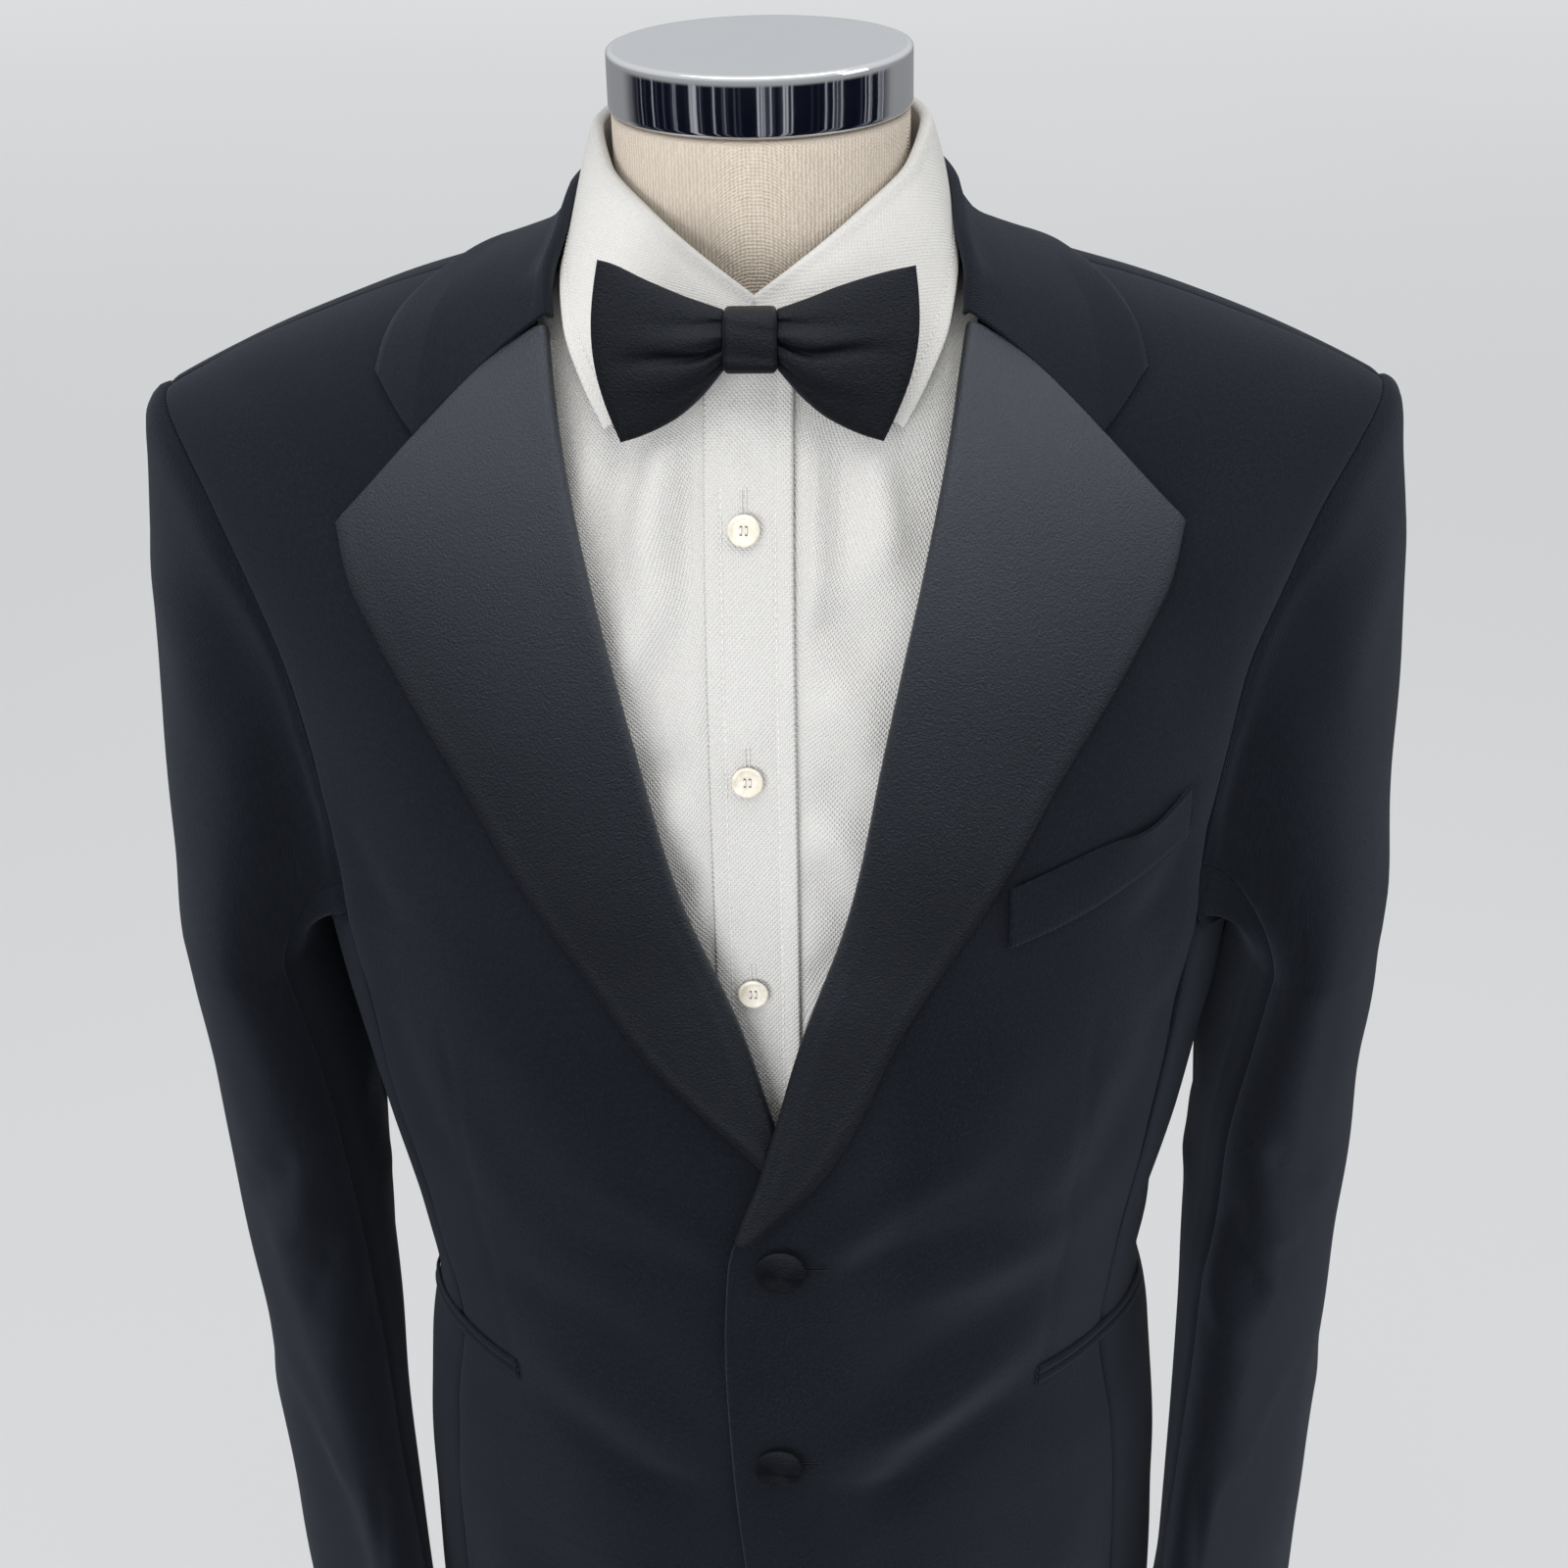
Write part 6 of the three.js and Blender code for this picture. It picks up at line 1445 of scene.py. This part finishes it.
# ---------------------------------------------------------------- floor, light and camera
floor_mat, t, b = material("floor", (0.66, 0.665, 0.67), 0.85, Specular_IOR_Level=0.05)
tc = node(t, "ShaderNodeTexCoord")
sep = node(t, "ShaderNodeSeparateXYZ")
t.links.new(tc.outputs["Object"], sep.inputs[0])
# painted light: the floor colour grows lighter with distance along object y, to even out how the ceiling lamp's light
# falls off; the noise adds random tone
away = math_node(t, "MULTIPLY", sep.outputs[1], 0.11)
n = noise(t, tc.outputs["Object"], 0.5, 2.0, 0.5)
col = ramp(t, math_node(t, "ADD", away, math_node(t, "MULTIPLY", n, 0.12)), [(0.05, (0.66, 0.665, 0.672)), (0.4, (0.75, 0.755, 0.76)), (1.0, (0.93, 0.935, 0.935))])
t.links.new(col, b.inputs["Base Color"])
me = bpy.data.meshes.new("floor")
me.from_pydata([(-14, -14, 0), (14, -14, 0), (14, 14, 0), (-14, 14, 0)], [], [(0, 1, 2, 3)])
me.materials.append(floor_mat)
floor = bpy.data.objects.new("floor", me)
scene.collection.objects.link(floor)
floor.visible_glossy = False

world = bpy.data.worlds.new("studio")
scene.world = world
world.use_nodes = True
t = world.node_tree
bg = t.nodes["Background"]
tc = node(t, "ShaderNodeTexCoord")
sep = node(t, "ShaderNodeSeparateXYZ")
t.links.new(tc.outputs["Generated"], sep.inputs[0])
up = math_node(t, "ADD", math_node(t, "MULTIPLY", sep.outputs[2], 0.5), 0.5)
sky = ramp(t, up, [(0.0, (0.28, 0.28, 0.29)), (0.42, (0.34, 0.345, 0.355)), (0.50, (0.56, 0.57, 0.59)), (0.62, (0.80, 0.81, 0.83)), (1.0, (0.98, 0.98, 0.98))])
# what polished metal sees in front and below: a dark room with narrow upright bright strips
turn = math_node(t, "ARCTAN2", sep.outputs[0], math_node(t, "MULTIPLY", sep.outputs[1], -1.0))
strip = node(t, "ShaderNodeTexNoise", noise_dimensions="1D", Scale=1.0, Detail=3.0, Roughness=0.75)
t.links.new(math_node(t, "MULTIPLY", turn, 4.2), strip.inputs["W"])
room = ramp(t, strip.outputs["Fac"], [(0.0, (0.003, 0.004, 0.009)), (0.50, (0.005, 0.006, 0.014)), (0.56, (0.05, 0.055, 0.08)), (0.60, (0.55, 0.56, 0.60)), (0.64, (0.04, 0.045, 0.08)), (1.0, (0.60, 0.60, 0.64))])
side = math_node(t, "ABSOLUTE", turn, 0.0)
dark = node(t, "ShaderNodeMapRange", interpolation_type="SMOOTHSTEP")
for key, value in (("From Min", 1.75), ("From Max", 2.15), ("To Min", 1.0), ("To Max", 0.0)):
    dark.inputs[key].default_value = value
t.links.new(side, dark.inputs["Value"])
low = node(t, "ShaderNodeMapRange", interpolation_type="SMOOTHSTEP")
for key, value in (("From Min", -0.205), ("From Max", -0.12), ("To Min", 1.0), ("To Max", 0.0)):
    low.inputs[key].default_value = value
t.links.new(sep.outputs[2], low.inputs["Value"])
blend = node(t, "ShaderNodeMix", data_type="RGBA")
t.links.new(math_node(t, "MULTIPLY", dark.outputs["Result"], low.outputs["Result"]), blend.inputs["Factor"])
t.links.new(sky, blend.inputs["A"])
t.links.new(room, blend.inputs["B"])
t.links.new(blend.outputs["Result"], bg.inputs["Color"])
bg.inputs["Strength"].default_value = 0.86


def area_light(name, loc, target, size, power, color=(1, 1, 1), glossy=True):
    li = bpy.data.lights.new(name, "AREA")
    li.shape, li.size, li.size_y = "RECTANGLE", size[0], size[1]
    li.energy, li.color = power, color
    ob = bpy.data.objects.new(name, li)
    scene.collection.objects.link(ob)
    loc, target = np.array(loc, float), np.array(target, float)
    z = unit(loc - target)
    x = unit(np.cross([0, 1e-3, 1.0] if abs(z[2]) < 0.999 else [0, 1.0, 0], z))
    y = np.cross(z, x)
    ob.matrix_world = Matrix([[x[0], y[0], z[0], loc[0]], [x[1], y[1], z[1], loc[1]], [x[2], y[2], z[2], loc[2]], [0, 0, 0, 1]])
    ob.visible_glossy = glossy
    return ob


area_light("ceiling", (0.1, -0.5, 3.1), (0, 0, 1.0), (2.6, 1.8), 24, (1.0, 0.99, 0.975))
area_light("front_soft", (-1.3, -2.8, 1.0), (0, 0, 1.15), (2.0, 1.0), 52, (0.985, 0.99, 1.0), False)
area_light("side_soft", (2.6, -0.6, 2.0), (0, 0, 1.0), (1.2, 1.6), 8, (0.98, 0.99, 1.0))

cam = bpy.data.cameras.new("camera")
cam.sensor_width, cam.sensor_fit = 36.0, "HORIZONTAL"
cam.lens = 36.0 * 2488 / 1600
cam.clip_start, cam.clip_end = 0.05, 60
cob = bpy.data.objects.new("camera", cam)
scene.collection.objects.link(cob)
pitch, roll, yaw = math.radians(28.04), math.radians(-1.31), math.radians(-3.01)
fw = np.array([math.sin(yaw) * math.cos(pitch), math.cos(yaw) * math.cos(pitch), -math.sin(pitch)])
rt = np.array([math.cos(yaw), -math.sin(yaw), 0])
upv = np.cross(rt, fw)
r2 = math.cos(roll) * rt + math.sin(roll) * upv
u2 = -math.sin(roll) * rt + math.cos(roll) * upv
pos = (0.0509, -0.9136, 1.430 + 0.1803)
cob.matrix_world = Matrix([[r2[k], u2[k], -fw[k], pos[k]] for k in range(3)] + [[0, 0, 0, 1]])
scene.camera = cob
scene.view_settings.view_transform = "Standard"
scene.view_settings.look = "None"
